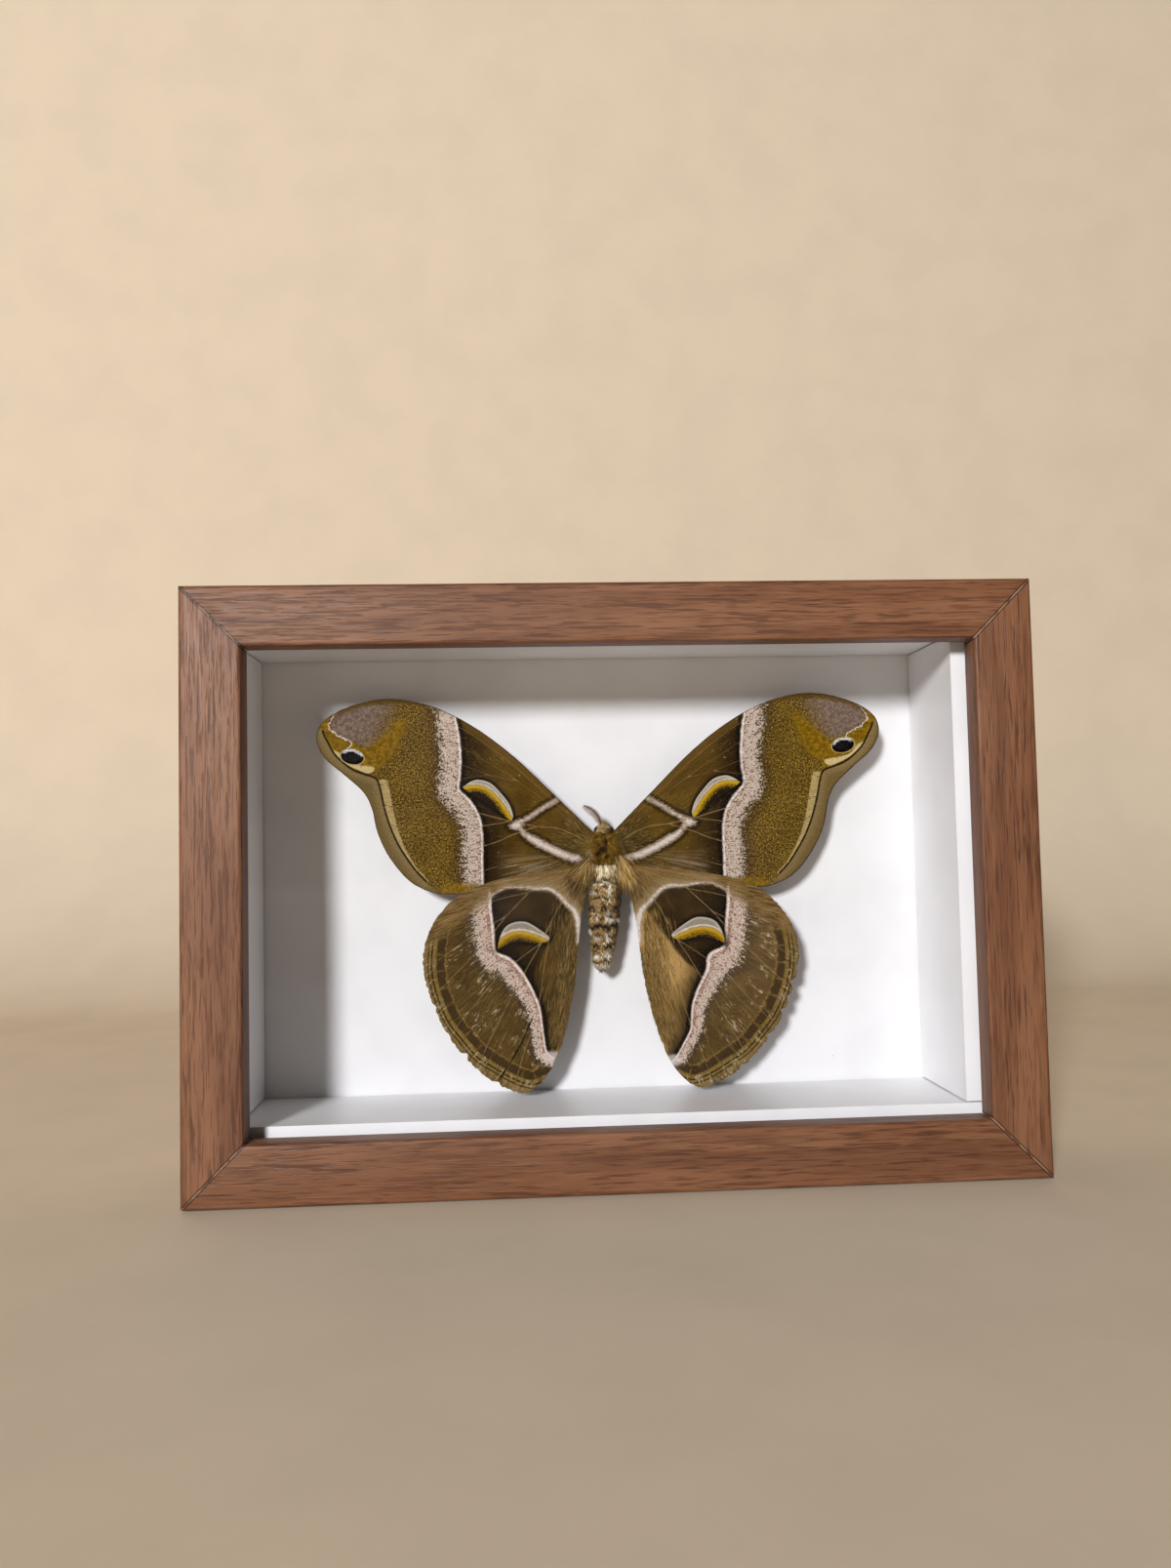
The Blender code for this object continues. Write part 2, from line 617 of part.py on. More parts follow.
def make_antenna(name, side):
    """A feathered antenna: its shaft with two rows of tapering branches."""
    route = curve_through(ANTENNA_ROUTE[side], ANTENNA_STEP)
    taper = [ANTENNA_RADIUS * (1.0 - ANTENNA_TAPER * i / len(route)) for i in range(len(route))]
    shaft = tube(name, route, taper, side, "antenna", sides=6)
    branches = []
    first, last = (share * (len(route) - 1) for share in BRANCH_ROOM)
    for number in range(BRANCHES):
        place = first + (last - first) * number / (BRANCHES - 1)
        base = int(min(place, len(route) - 2))
        root = route[base].lerp(route[base + 1], place - base)
        ahead = (route[base + 1] - route[base]).normalized()
        wave = BRANCH_WAVE[0] + (BRANCH_WAVE[1] - BRANCH_WAVE[0]) * number / (BRANCHES - 1)
        length = BRANCH_LENGTH * math.sin(math.pi * wave)
        for row in (-1, 1):
            away = Vector((-ahead.z * row, BRANCH_BEHIND[row], ahead.x * row))
            away = (away.normalized() + ahead * BRANCH_AHEAD).normalized()
            tip = root + (away + ahead * BRANCH_CURL) * length
            reach = [root, root + away * length * BRANCH_BEND, tip]
            branches.append(tube(f"{name}_branch_{number}_{row}", reach,
                                 [BRANCH_THICK * share for share in BRANCH_TAPER], side,
                                 "antenna", sides=4))
    fuse(shaft, branches)
    return shaft


def make_moth():
    """The moth, each piece cut clear of what it grows from."""
    thorax = ellipsoid("thorax", THORAX_AT, THORAX_HALF, "fur")
    head = ellipsoid("head", HEAD_AT, HEAD_HALF, "fur", 0.0, 1, *HEAD_SIDES)
    abdomen = make_abdomen("abdomen")
    abdomen_room = make_abdomen("abdomen_room", GAP)
    thorax_room = ellipsoid("thorax_room", THORAX_AT, THORAX_HALF, "fur", GAP)
    head_room = ellipsoid("head_room", HEAD_AT, HEAD_HALF, "fur", GAP, 1, *HEAD_SIDES)
    eye_rooms = []
    for side, label in ((-1, "left"), (1, "right")):
        at = (EYE_AT[0] + side * HEAD_AT[0], EYE_AT[1], EYE_AT[2])
        ball = (EYE_RADIUS,) * 3
        eye = ellipsoid(f"eye_{label}", at, ball, "eye", 0.0, side, *EYE_SIDES)
        eye_rooms.append(ellipsoid(f"eye_room_{label}", at, ball, "eye", GAP, side, *EYE_SIDES))
        cut(eye, thorax_room)
    cut(head, thorax_room, *eye_rooms)
    cut(abdomen, thorax_room)
    for side, label in ((-1, "left"), (1, "right")):
        fore = make_wing(f"forewing_{label}", side, FORE_OUTLINE, FORE_VEINS, 0.0, 0.0, 1.0)
        hind = make_wing(f"hindwing_{label}", side, HIND_OUTLINE, HIND_VEINS, HIND_LIFT,
                         HIND_SHIFT[side], HIND_STRETCH[side])
        cut(fore, thorax_room, head_room)
        cut(hind, thorax_room, abdomen_room)
        antenna = make_antenna(f"antenna_{label}", side)
        cut(antenna, head_room, thorax_room, *eye_rooms)
        for pair, joints in LEG_ROUTES.items():
            leg = tube(f"leg_{pair}_{label}", joints, LEG_RADII, side, "fur")
            cut(leg, thorax_room)
    pad_top = THORAX_AT[1] + THORAX_HALF[1] * PAD_SINK
    pad_low = moth_point(1, -PAD_HALF[0], pad_top, THORAX_AT[2] - PAD_HALF[1])
    pad_high = moth_point(1, PAD_HALF[0], CARD_FRONT - WING_DEPTH - GAP, THORAX_AT[2] + PAD_HALF[1])
    pad = box("mounting_pad", pad_low, pad_high, "pad")
    cut(pad, thorax_room)
    fuse(thorax, body_locks())
    for spare in [thorax_room, head_room, abdomen_room] + eye_rooms:
        bpy.data.objects.remove(spare, do_unlink=True)


def main():
    """Build the case and the moth in it."""
    clear_scene()
    make_rails()
    half_w, half_h, behind_board = make_glazing()
    make_back_fittings(half_w, half_h, behind_board)
    make_moth()


main()
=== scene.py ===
"""Looks of a samia silk moth in its glazed box frame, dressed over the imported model.

The row frame is in metres, +Z up, with the glass towards -Y. Sizes are in millimetres
and are turned into metres where a mesh is made.
"""
import logging
import math
from dataclasses import dataclass, field
from enum import Enum
from functools import reduce

import bpy
import numpy as np
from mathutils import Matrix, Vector, geometry


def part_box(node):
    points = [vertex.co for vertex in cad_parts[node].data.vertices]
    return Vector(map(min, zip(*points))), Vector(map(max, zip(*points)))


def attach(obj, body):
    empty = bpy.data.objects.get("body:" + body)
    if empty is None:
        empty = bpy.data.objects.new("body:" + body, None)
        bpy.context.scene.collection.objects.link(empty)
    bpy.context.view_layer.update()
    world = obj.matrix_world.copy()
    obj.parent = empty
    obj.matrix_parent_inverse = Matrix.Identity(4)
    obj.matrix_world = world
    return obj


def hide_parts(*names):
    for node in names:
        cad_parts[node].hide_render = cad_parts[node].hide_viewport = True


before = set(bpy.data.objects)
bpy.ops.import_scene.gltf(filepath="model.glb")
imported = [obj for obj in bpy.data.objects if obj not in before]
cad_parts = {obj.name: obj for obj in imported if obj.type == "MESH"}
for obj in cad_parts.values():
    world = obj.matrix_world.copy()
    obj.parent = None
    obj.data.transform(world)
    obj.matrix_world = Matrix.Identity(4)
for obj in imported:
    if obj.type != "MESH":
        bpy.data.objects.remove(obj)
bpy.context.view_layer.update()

LOG = logging.getLogger("moth_case")
MM = 0.001
BODY = "root"

CASE_WIDTH, CASE_HEIGHT, CASE_DEPTH = 170.0, 120.0, 44.0
AXIS_X, THORAX_Z, WING_DEPTH = -1.05, 67.3, 26.7

Rgb = tuple[float, float, float]
Line = tuple[tuple[float, ...], ...]
Rows = np.ndarray
Socket = bpy.types.NodeSocket
Node = bpy.types.Node
Thing = bpy.types.Object
Stuff = bpy.types.Material
SIDES = {-1: "left", 1: "right"}
TO_VIEWER = (0.0, -1.0, 0.0)

# Wing outlines, from the front of the root round the tip to the back of the root. A point
# is (outwards from the body's axis, forwards from the thorax).
FORE_OUTLINE: Line = (
    (0.5, 2.0), (2.4, 3.6), (10.9, 12.0), (19.7, 20.6), (28.4, 27.2), (37.2, 31.6), (46.7, 33.2),
    (55.2, 31.4), (60.5, 28.2), (61.8, 24.4), (60.0, 20.4), (55.9, 16.7), (52.0, 13.0), (50.2, 9.4),
    (49.0, 4.0), (46.6, -1.2), (42.4, -6.4), (37.6, -9.0), (32.8, -9.6), (26.0, -9.2), (14.0, -7.2),
    (0.5, -4.4),
)
HIND_OUTLINE: Line = (
    (0.5, -2.9), (3.4, -3.7), (10.0, -4.8), (16.8, -5.4), (26.0, -7.3), (32.3, -10.1),
    (36.7, -14.6), (39.1, -19.6), (39.6, -25.0), (38.5, -30.3), (36.0, -37.0), (31.6, -43.7),
    (25.6, -49.4), (18.8, -52.4),
    (15.0, -50.6), (11.4, -45.6), (8.8, -37.8), (6.8, -28.0), (5.8, -19.5), (4.9, -13.0), (3.4, -8.0),
    (0.5, -5.6),
)
FORE_VEINS: tuple[Line, ...] = (
    ((1.5, 1.6), (11.5, 11.0), (20.5, 19.2), (30.0, 26.2), (40.0, 31.0)),
    ((1.5, 1.0), (10.5, 8.6), (18.5, 14.8), (26.0, 19.6), (35.0, 25.0), (46.0, 30.0), (55.0, 29.8)),
    ((18.5, 14.8), (24.5, 16.2), (31.0, 18.6), (37.7, 20.5), (44.8, 22.8), (52.0, 25.6), (59.6, 26.6)),
    ((24.5, 16.2), (30.0, 15.6), (36.7, 14.9), (45.9, 14.8), (52.4, 14.9)),
    ((1.5, -0.2), (6.1, 2.6), (10.0, 4.3), (14.3, 4.8), (20.0, 6.0), (27.4, 8.0), (34.8, 9.4), (49.0, 8.4)),
    ((20.0, 6.0), (26.9, 5.0), (31.6, 3.8), (38.1, 3.3), (47.2, 1.5)),
    ((14.3, 4.8), (19.5, 3.2), (23.3, 1.6), (28.5, 0.1), (36.0, -2.2), (42.4, -4.9)),
    ((1.5, -1.4), (9.9, -1.6), (18.5, -2.7), (27.0, -4.9), (33.5, -8.2)),
)
HIND_VEINS: tuple[Line, ...] = (
    ((1.5, -3.4), (10.0, -6.4), (16.3, -9.3), (22.0, -10.6), (28.0, -12.4), (35.8, -15.5)),
    ((21.4, -14.4), (28.0, -18.0), (33.0, -21.3), (38.4, -25.0)),
    ((16.3, -9.3), (21.4, -14.4), (25.0, -18.7), (28.5, -22.5), (33.5, -27.5), (37.0, -30.8)),
    ((1.5, -4.1), (7.8, -9.8), (11.6, -15.5), (13.9, -20.3), (16.5, -24.5), (19.8, -30.4),
     (23.0, -36.1), (27.2, -44.4)),
    ((13.9, -20.3), (19.9, -24.6), (23.9, -27.8), (28.8, -33.5), (33.0, -38.2)),
    ((11.6, -15.5), (13.2, -24.0), (14.7, -32.7), (16.5, -39.3), (18.1, -43.5), (20.1, -49.6)),
    ((1.5, -4.6), (4.6, -8.2), (6.6, -12.4), (8.0, -18.0), (8.7, -23.6), (9.4, -29.1), (10.6, -36.7),
     (12.3, -43.5)),
)

# Forewing markings
FORE_BAND: Line = (
    (32.2, 34.5), (31.7, 29.0), (31.2, 26.2), (30.8, 22.8), (30.7, 19.5), (30.8, 16.7), (31.1, 14.7),
    (31.0, 13.1), (29.4, 11.4), (27.8, 9.2), (26.7, 6.7), (26.3, 4.1), (26.2, 1.2), (26.3, -1.8),
    (26.3, -4.6), (26.2, -11.0),
)
FORE_MOON: Line = (
    (30.6, 13.7), (28.6, 14.9), (26.8, 15.2), (24.4, 14.4), (22.2, 12.2), (20.4, 9.7), (19.6, 7.0),
    (20.2, 6.0), (20.8, 6.6), (22.9, 8.1), (25.1, 9.7), (27.2, 11.1), (29.2, 12.5),
)
FORE_MOON_SPLIT: Line = ((30.4, 13.8), (27.4, 14.1), (25.2, 13.4), (23.1, 11.6), (21.4, 9.4), (19.7, 6.5))
FORE_STRIPE_THIN: Line = ((9.2, 11.4), (10.1, 10.5), (13.1, 8.8), (15.7, 7.1), (17.9, 6.0), (19.6, 5.5))
FORE_STRIPE_BROAD: Line = (
    (19.6, 5.6), (18.2, 4.6), (17.1, 3.1), (14.1, 1.2), (10.9, -0.5), (8.0, -1.8), (5.2, -2.6),
)
FORE_LINE: Line = (
    (60.6, 27.2), (60.2, 25.6), (59.4, 24.0), (58.0, 21.4), (56.2, 19.5), (54.0, 17.8), (51.5, 16.8),
    (49.2, 15.9), (48.4, 14.0), (47.6, 10.0), (46.8, 7.0), (45.7, 3.9), (44.3, 0.9), (42.6, -1.8),
    (41.0, -4.1), (38.7, -6.6),
)
FORE_ZIGZAG: Line = (
    (55.2, 31.2), (57.1, 30.7), (58.4, 29.0), (59.2, 27.2), (58.2, 26.1), (57.2, 25.4), (56.0, 24.7),
    (54.7, 24.1), (54.4, 23.3), (54.9, 22.7),
)
FORE_LILAC: Line = (
    (44.0, 32.0), (50.0, 31.9), (56.3, 30.8), (58.2, 28.6), (58.7, 27.2), (57.2, 25.7), (54.6, 24.3),
    (51.0, 22.9), (48.5, 24.4), (45.5, 26.5), (43.0, 29.0),
)
FORE_GOLD: Line = (
    (61.6, 27.5), (59.5, 29.8), (58.9, 26.5), (55.5, 24.2), (51.5, 22.6), (48.0, 25.0), (43.4, 28.5),
    (43.5, 26.0), (45.5, 21.5), (48.8, 18.2), (51.5, 17.3), (55.5, 18.8), (59.0, 22.5), (61.0, 25.0),
)
FORE_WEDGE: Line = (
    (58.6, 22.4), (57.4, 20.6), (55.6, 19.2), (53.4, 18.0), (50.6, 17.0), (49.4, 18.2), (51.6, 18.7),
    (53.0, 18.9), (55.2, 19.6), (56.8, 21.4),
)

# Hindwing markings, with the left wing's places
HIND_BAND: Line = (
    (25.6, -6.5), (24.9, -8.8), (24.7, -10.3), (24.7, -12.6), (24.4, -15.4), (24.2, -17.8),
    (24.0, -21.0), (23.3, -22.4), (21.4, -23.2), (19.7, -24.6), (17.6, -27.5), (15.8, -31.0),
    (14.6, -34.2), (14.2, -37.3), (13.8, -40.8), (13.3, -43.6), (11.4, -45.2), (8.0, -46.4),
)
HIND_ARCH: Line = (
    (25.8, -11.5), (24.3, -9.8), (21.5, -8.4), (18.7, -8.3), (15.2, -8.7), (12.3, -8.8), (10.2, -10.1),
    (8.2, -12.3), (6.8, -13.7), (6.0, -15.8), (5.7, -18.3), (5.8, -20.4),
)
HIND_CELL: Line = HIND_ARCH[1:] + (
    (6.2, -22.0), (7.5, -30.0), (9.5, -38.0), (12.0, -44.6),
) + HIND_BAND[15:2:-1] + ((24.7, -10.6),)
HIND_MOON: Line = (
    (23.5, -21.7), (23.1, -19.3), (21.7, -16.8), (19.5, -15.8), (17.1, -15.9), (14.6, -17.4),
    (12.2, -19.4), (13.3, -20.4), (16.1, -20.5), (18.9, -20.1), (21.7, -20.7),
)
HIND_MOON_SPLIT: Line = (
    (23.9, -20.4), (22.0, -18.7), (19.6, -17.8), (17.2, -18.0), (14.4, -19.0), (11.8, -20.4),
)
HIND_LINE: Line = (
    (36.6, -16.4), (37.3, -19.8), (37.7, -24.4), (37.3, -28.5), (36.0, -33.0), (34.1, -37.1),
    (31.6, -40.5), (28.2, -44.5), (24.7, -46.8), (20.3, -49.4), (16.5, -50.6), (13.5, -49.5),
)
HIND_FOLD: Line = (
    (6.4, -10.8), (8.2, -14.0), (10.4, -17.5), (13.3, -21.3), (15.1, -25.1), (16.4, -28.5),
    (15.6, -31.5), (14.0, -36.0), (13.4, -40.5),
)
HIND_SLIT: Line = ((24.0, -49.8), (19.3, -42.7), (16.0, -35.9))
HIND_SCARS: dict[int, Line] = {
    -1: ((28.9, -17.8, 1.6, 2.2), (24.9, -26.6, 2.6, 2.2), (28.5, -38.9, 1.2, 1.6)),
    1: ((31.0, -16.8, 3.4, 1.6), (33.6, -21.5, 2.2, 3.4), (26.2, -40.1, 1.6, 1.0), (17.0, -50.6, 3.5, 1.2)),
}
HIND_NOTCHES: dict[int, Line] = {
    -1: ((37.2, -33.6, 0.8), (31.2, -44.4, 1.2), (34.4, -39.6, 0.5), (24.1, -50.3, 0.7)),
    1: ((38.4, -30.4, 1.3), (37.4, -33.6, 0.9), (36.2, -36.6, 1.0), (33.0, -41.8, 0.8),
        (27.0, -48.3, 0.7), (21.5, -51.6, 0.6), (39.3, -27.0, 0.6)),
}


class Look(Enum):
    """The record's finishes, by the names of their slots."""

    MOULDING = "moulding"
    GLASS = "glass"
    CARD = "white_card"
    BOARD = "board"
    STEEL = "steel"
    WING = "wing"
    FUR = "fur"
    ABDOMEN = "abdomen"
    LEGS = "legs"
    EYE = "eye"
    ANTENNA = "antenna"
    PAD = "pad"


class Grain(Enum):
    """The way that a length of moulding runs."""

    ACROSS = "x"
    UP = "z"


def linear(colours: object) -> Rows:
    """Colours of 0 to 255 as the linear values that a shader takes.

    Args:
        colours: one colour, or rows of them.

    Returns:
        Linear red, green, blue and a full alpha, for each.
    """
    parts = np.clip(np.array(colours, float) / 255.0, 0.0, 1.0)
    flat = np.where(parts <= 0.04045, parts / 12.92, ((parts + 0.055) / 1.055) ** 2.4)
    return np.concatenate([flat, np.ones((*flat.shape[:-1], 1))], axis=-1)


def soft(value: Rows, low: float, high: float) -> Rows:
    """A smooth step from 0 at low to 1 at high."""
    share = np.clip((value - low) / (high - low), 0.0, 1.0)
    return share * share * (3.0 - 2.0 * share)


def columns(*parts: object) -> Rows:
    """Rows made of columns side by side, each a run of numbers or one number for all."""
    return np.stack(np.broadcast_arrays(*parts), axis=1)


def unit(rows: Rows) -> Rows:
    """Rows of vectors, each with a length of one."""
    return rows / np.maximum(np.linalg.norm(rows, axis=1, keepdims=True), 1e-9)


def varied(tone: Rgb, spread: float, chance: np.random.Generator, count: int, lift: float = 0.0) -> Rows:
    """Rows of one colour, lifted alike and then each a little lighter or darker."""
    return np.array(tone) * (1.0 + lift + spread * chance.standard_normal((count, 1)))


def some(share: float, chance: np.random.Generator, count: int) -> Rows:
    """A column that is true for about a share of its rows."""
    return (chance.random(count) < share)[:, None]


def smooth_line(knots: Line, step: float) -> Rows:
    """Points about step apart on a smooth open curve through the knots.

    Args:
        knots: the points that the curve passes.
        step: the spacing wanted.

    Returns:
        Rows of points with as many parts as a knot has.
    """
    spots = np.array(knots, float)
    spots = np.concatenate([[2 * spots[0] - spots[1]], spots, [2 * spots[-1] - spots[-2]]])
    made = []
    for i in range(1, len(spots) - 2):
        before, start, end, after = spots[i - 1:i + 3]
        pieces = max(1, round(float(np.linalg.norm(end - start)) / step))
        share = (np.arange(pieces) / pieces)[:, None]
        made.append(0.5 * (2 * start + (end - before) * share
                           + (2 * before - 5 * start + 4 * end - after) * share ** 2
                           + (3 * start - before - 3 * end + after) * share ** 3))
    made.append(spots[-2:-1])
    return np.concatenate(made)


def line_distance(spots: Rows, line: Rows) -> tuple[Rows, Rows, Rows]:
    """How far each spot lies from a line of points in plan, on which side, and how far along.

    Args:
        spots: rows of plan points.
        line: rows of the line's points.

    Returns:
        The distance, the side (+1 to the left of the line's run) and the share along it.
    """
    best = np.full(len(spots), np.inf)
    side = np.ones(len(spots))
    along = np.zeros(len(spots))
    for number, (start, end) in enumerate(zip(line[:-1], line[1:])):
        run = end - start
        away = spots - start
        share = np.clip(away @ run / max(float(run @ run), 1e-9), 0.0, 1.0)
        gap = np.linalg.norm(away - share[:, None] * run, axis=1)
        nearer = gap < best
        best = np.where(nearer, gap, best)
        turn = np.sign(run[0] * away[:, 1] - run[1] * away[:, 0])
        side = np.where(nearer, np.where(turn == 0.0, 1.0, turn), side)
        along = np.where(nearer, (number + share) / (len(line) - 1), along)
    return best, side, along


def past(spots: Rows, knots: Line, step: float = 0.6) -> Rows:
    """How far each spot lies to the left of a smooth line's run, less than nothing to its right."""
    gap, side, _ = line_distance(spots, smooth_line(knots, step))
    return gap * side


def within(spots: Rows, loop: Rows) -> Rows:
    """Whether each spot lies inside a closed outline.

    Args:
        spots: rows of plan points.
        loop: rows of the outline's points.

    Returns:
        True where a spot is inside.
    """
    crossings = np.zeros(len(spots), int)
    for start, end in zip(loop, np.roll(loop, -1, axis=0)):
        spans = (start[1] > spots[:, 1]) != (end[1] > spots[:, 1])
        rise = end[1] - start[1] if end[1] != start[1] else 1e-9
        crossings += spans & (start[0] + (spots[:, 1] - start[1]) / rise * (end[0] - start[0]) > spots[:, 0])
    return crossings % 2 == 1


def loop_depth(spots: Rows, loop: Line) -> Rows:
    """How deep each spot lies inside a closed outline, less than nothing outside it.

    Args:
        spots: rows of plan points.
        loop: the outline's knots.

    Returns:
        Signed distances.
    """
    closed = smooth_line(loop + loop[:1], 0.5)
    gap, _, _ = line_distance(spots, closed)
    return np.where(within(spots, closed[:-1]), gap, -gap)


def moth_places(side: int, spots: Rows) -> Rows:
    """Places in the row frame's metres of points in the moth's own millimetres."""
    base = np.array([AXIS_X, WING_DEPTH - CASE_DEPTH / 2, THORAX_Z])
    return (base + spots * np.array([side, 1.0, 1.0])) * MM


def node_box(name: str) -> tuple[list[float], list[float]]:
    """The lowest and the highest corner of a node of the frame, in millimetres."""
    low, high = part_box(name)
    return [c / MM for c in low], [c / MM for c in high]


def mesh_from(name: str, places: Rows, faces: Rows) -> Thing:
    """A mesh object from arrays, its faces all triangles.

    Args:
        name: the piece's name.
        places: rows of x, y and z in metres.
        faces: rows of three corner numbers.

    Returns:
        The linked object.
    """
    mesh = bpy.data.meshes.new(name)
    mesh.vertices.add(len(places))
    mesh.vertices.foreach_set("co", places.astype(np.float32).ravel())
    mesh.loops.add(faces.size)
    mesh.loops.foreach_set("vertex_index", faces.astype(np.int32).ravel())
    mesh.polygons.add(len(faces))
    mesh.polygons.foreach_set("loop_start", np.arange(0, faces.size, 3, dtype=np.int32))
    mesh.update(calc_edges=True)
    mesh.validate()
    mesh.shade_smooth()
    made = bpy.data.objects.new(name, mesh)
    bpy.context.scene.collection.objects.link(made)
    return made


def tube_faces(rings: int, sides: int) -> Rows:
    """The triangles of a run of rings, closed by a pole before the first and one past the last.

    Args:
        rings: how many rings there are.
        sides: how many points each has.

    Returns:
        Rows of three corner numbers, with the two poles numbered after the rings.
    """
    ring = np.arange(sides)
    after = (ring + 1) % sides
    faces = []
    for start in range(0, (rings - 1) * sides, sides):
        a, b, c, d = start + ring, start + after, start + after + sides, start + ring + sides
        faces += [columns(a, b, c), columns(a, c, d)]
    end = (rings - 1) * sides
    faces += [columns(after, ring, rings * sides), columns(end + ring, end + after, rings * sides + 1)]
    return np.concatenate(faces)


def keep_field(piece: Thing, name: str, values: Rows) -> None:
    """Store numbers, vectors or colours on a piece's points.

    Args:
        piece: the mesh object.
        name: the attribute's name.
        values: one row for each point.
    """
    kinds = {1: ("FLOAT", "value"), 3: ("FLOAT_VECTOR", "vector"), 4: ("FLOAT_COLOR", "color")}
    kind, slot = kinds[1 if values.ndim == 1 else values.shape[1]]
    made = piece.data.attributes.new(name, kind, "POINT")
    made.data.foreach_set(slot, values.astype(np.float32).ravel())


def settle(piece: Thing, look: Look, finish: Stuff, *nodes: str) -> None:
    """Give a finished piece its material and its place in the frame.

    Args:
        piece: the mesh object.
        look: the record's finish that it stands for; not used.
        finish: its material.
        nodes: the frame's nodes that it takes the place of.
    """
    piece.data.materials.clear()
    piece.data.materials.append(finish)
    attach(piece, BODY)
    if nodes:
        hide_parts(*nodes)
    LOG.info("%s: %d faces", piece.name, len(piece.data.polygons))


def dress(node_name: str, look: Look, finish: Stuff) -> None:
    """Give a node of the frame a better finish.

    Args:
        node_name: the node's name.
        look: the record's finish; not used.
        finish: its new material.
    """
    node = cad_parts[node_name]
    for slot in node.material_slots:
        slot.material = finish
    LOG.info("%s: kept, with a new finish", node_name)


class Paint:
    """A material's node tree, wired by short calls."""

    def __init__(self, name: str) -> None:
        """Start a material.

        Args:
            name: its name.
        """
        self.stuff = bpy.data.materials.new(name)
        self.stuff.use_nodes = True
        self.tree = self.stuff.node_tree
        self.shader = self.tree.nodes["Principled BSDF"]

    def add(self, kind: str, feeds: dict[object, object], **settings: object) -> Node:
        """Add a node.

        Args:
            kind: the shader node's type.
            feeds: what goes into its sockets, by their names or numbers.
            settings: its properties by name.

        Returns:
            The node.
        """
        node = self.tree.nodes.new("ShaderNode" + kind)
        for name, value in settings.items():
            setattr(node, name, value)
        for key, value in feeds.items():
            self.feed(node.inputs[key], value)
        return node

    def feed(self, socket: Socket, value: object) -> None:
        """Link a socket, or set it.

        Args:
            socket: where the value goes.
            value: another node's socket, a number, a vector or a colour of 0 to 255.
        """
        if isinstance(value, Socket):
            self.tree.links.new(value, socket)
        else:
            socket.default_value = linear(value) if socket.type == "RGBA" else value

    def measure(self, name: str, part: str = "Fac") -> Socket:
        """What the mesh stores under a name: a number, or else its Vector or Color."""
        return self.add("Attribute", {}, attribute_name=name).outputs[part]

    def stretched(self, where: Socket, *stretch: float) -> Socket:
        """A vector, stretched along its axes."""
        return self.add("Mapping", {"Vector": where, "Scale": stretch}).outputs["Vector"]

    def place(self, *stretch: float) -> Socket:
        """The piece's own coordinates in millimetres, stretched if asked."""
        where = self.add("TexCoord", {}).outputs["Object"]
        return self.stretched(where, *(s / MM for s in stretch or (1.0, 1.0, 1.0)))

    def noise(self, where: Socket, scale: float, detail: float = 3.0, rough: float = 0.55,
              warp: float = 0.0) -> Socket:
        """Cloudy noise from 0 to 1: its clouds in a unit, its finer layers, their strength and twist."""
        feeds = {"Vector": where, "Scale": scale, "Detail": detail, "Roughness": rough, "Distortion": warp}
        return self.add("TexNoise", feeds).outputs["Fac"]

    def grains(self, where: Socket, scale: float) -> Socket:
        """The distance to the nearest of many scattered points."""
        return self.add("TexVoronoi", {"Vector": where, "Scale": scale}).outputs["Distance"]

    def sum(self, kind: str, *parts: object) -> Socket:
        """One step of arithmetic on numbers or sockets, by the operation's name."""
        return self.add("Math", dict(enumerate(parts)), operation=kind).outputs[0]

    def span(self, value: object, low: float, high: float, start: float = 0.0, end: float = 1.0) -> Socket:
        """A smooth run from start, where value is low, to end, where it is high."""
        feeds = {"Value": value, "From Min": low, "From Max": high, "To Min": start, "To Max": end}
        return self.add("MapRange", feeds, interpolation_type="SMOOTHSTEP").outputs["Result"]

    def shaken(self, value: Socket, where: Socket, scale: float, amount: float) -> Socket:
        """A measure with noise of some size added, for edges that wander."""
        return self.sum("MULTIPLY_ADD", self.sum("SUBTRACT", self.noise(where, scale), 0.5), amount, value)

    def near(self, value: Socket, middle: float, half: float, fade: float) -> Socket:
        """1 where a measure is within half of a middle value, falling to 0 over the fade."""
        gap = self.sum("ABSOLUTE", self.sum("SUBTRACT", value, middle))
        return self.span(gap, half, half + fade, 1.0, 0.0)

    def times(self, *shares: object) -> Socket:
        """The product of two shares or more."""
        return reduce(lambda made, share: self.sum("MULTIPLY", made, share), shares)

    def over(self, under: object, *layers: tuple) -> Socket:
        """Colours laid one over another.

        Args:
            under: the colour below, as 0 to 255 or a socket.
            layers: each a colour and its share, or a colour, a measure and the measure's smooth run.

        Returns:
            The blend.
        """
        for top, share, *run in layers:
            share = self.span(share, *run) if run else share
            under = self.add("Mix", {"Factor": share, 6: under, 7: top}, data_type="RGBA").outputs[2]
        return under

    def blend(self, kind: str, under: object, top: object) -> Socket:
        """One colour fully blended with another, by the blend's name."""
        feeds = {"Factor": 1.0, 6: under, 7: top}
        return self.add("Mix", feeds, data_type="RGBA", blend_type=kind).outputs[2]

    def steps(self, value: Socket, stops: tuple[tuple[float, Rgb], ...]) -> Socket:
        """A run of colours, blended between its stops.

        Args:
            value: a number from 0 to 1.
            stops: each stop's place and colour.

        Returns:
            The colour.
        """
        node = self.add("ValToRGB", {"Fac": value})
        band = node.color_ramp.elements
        while len(band) < len(stops):
            band.new(1.0)
        for element, (place, colour) in zip(band, stops):
            element.position = place
            element.color = linear(colour)
        return node.outputs["Color"]

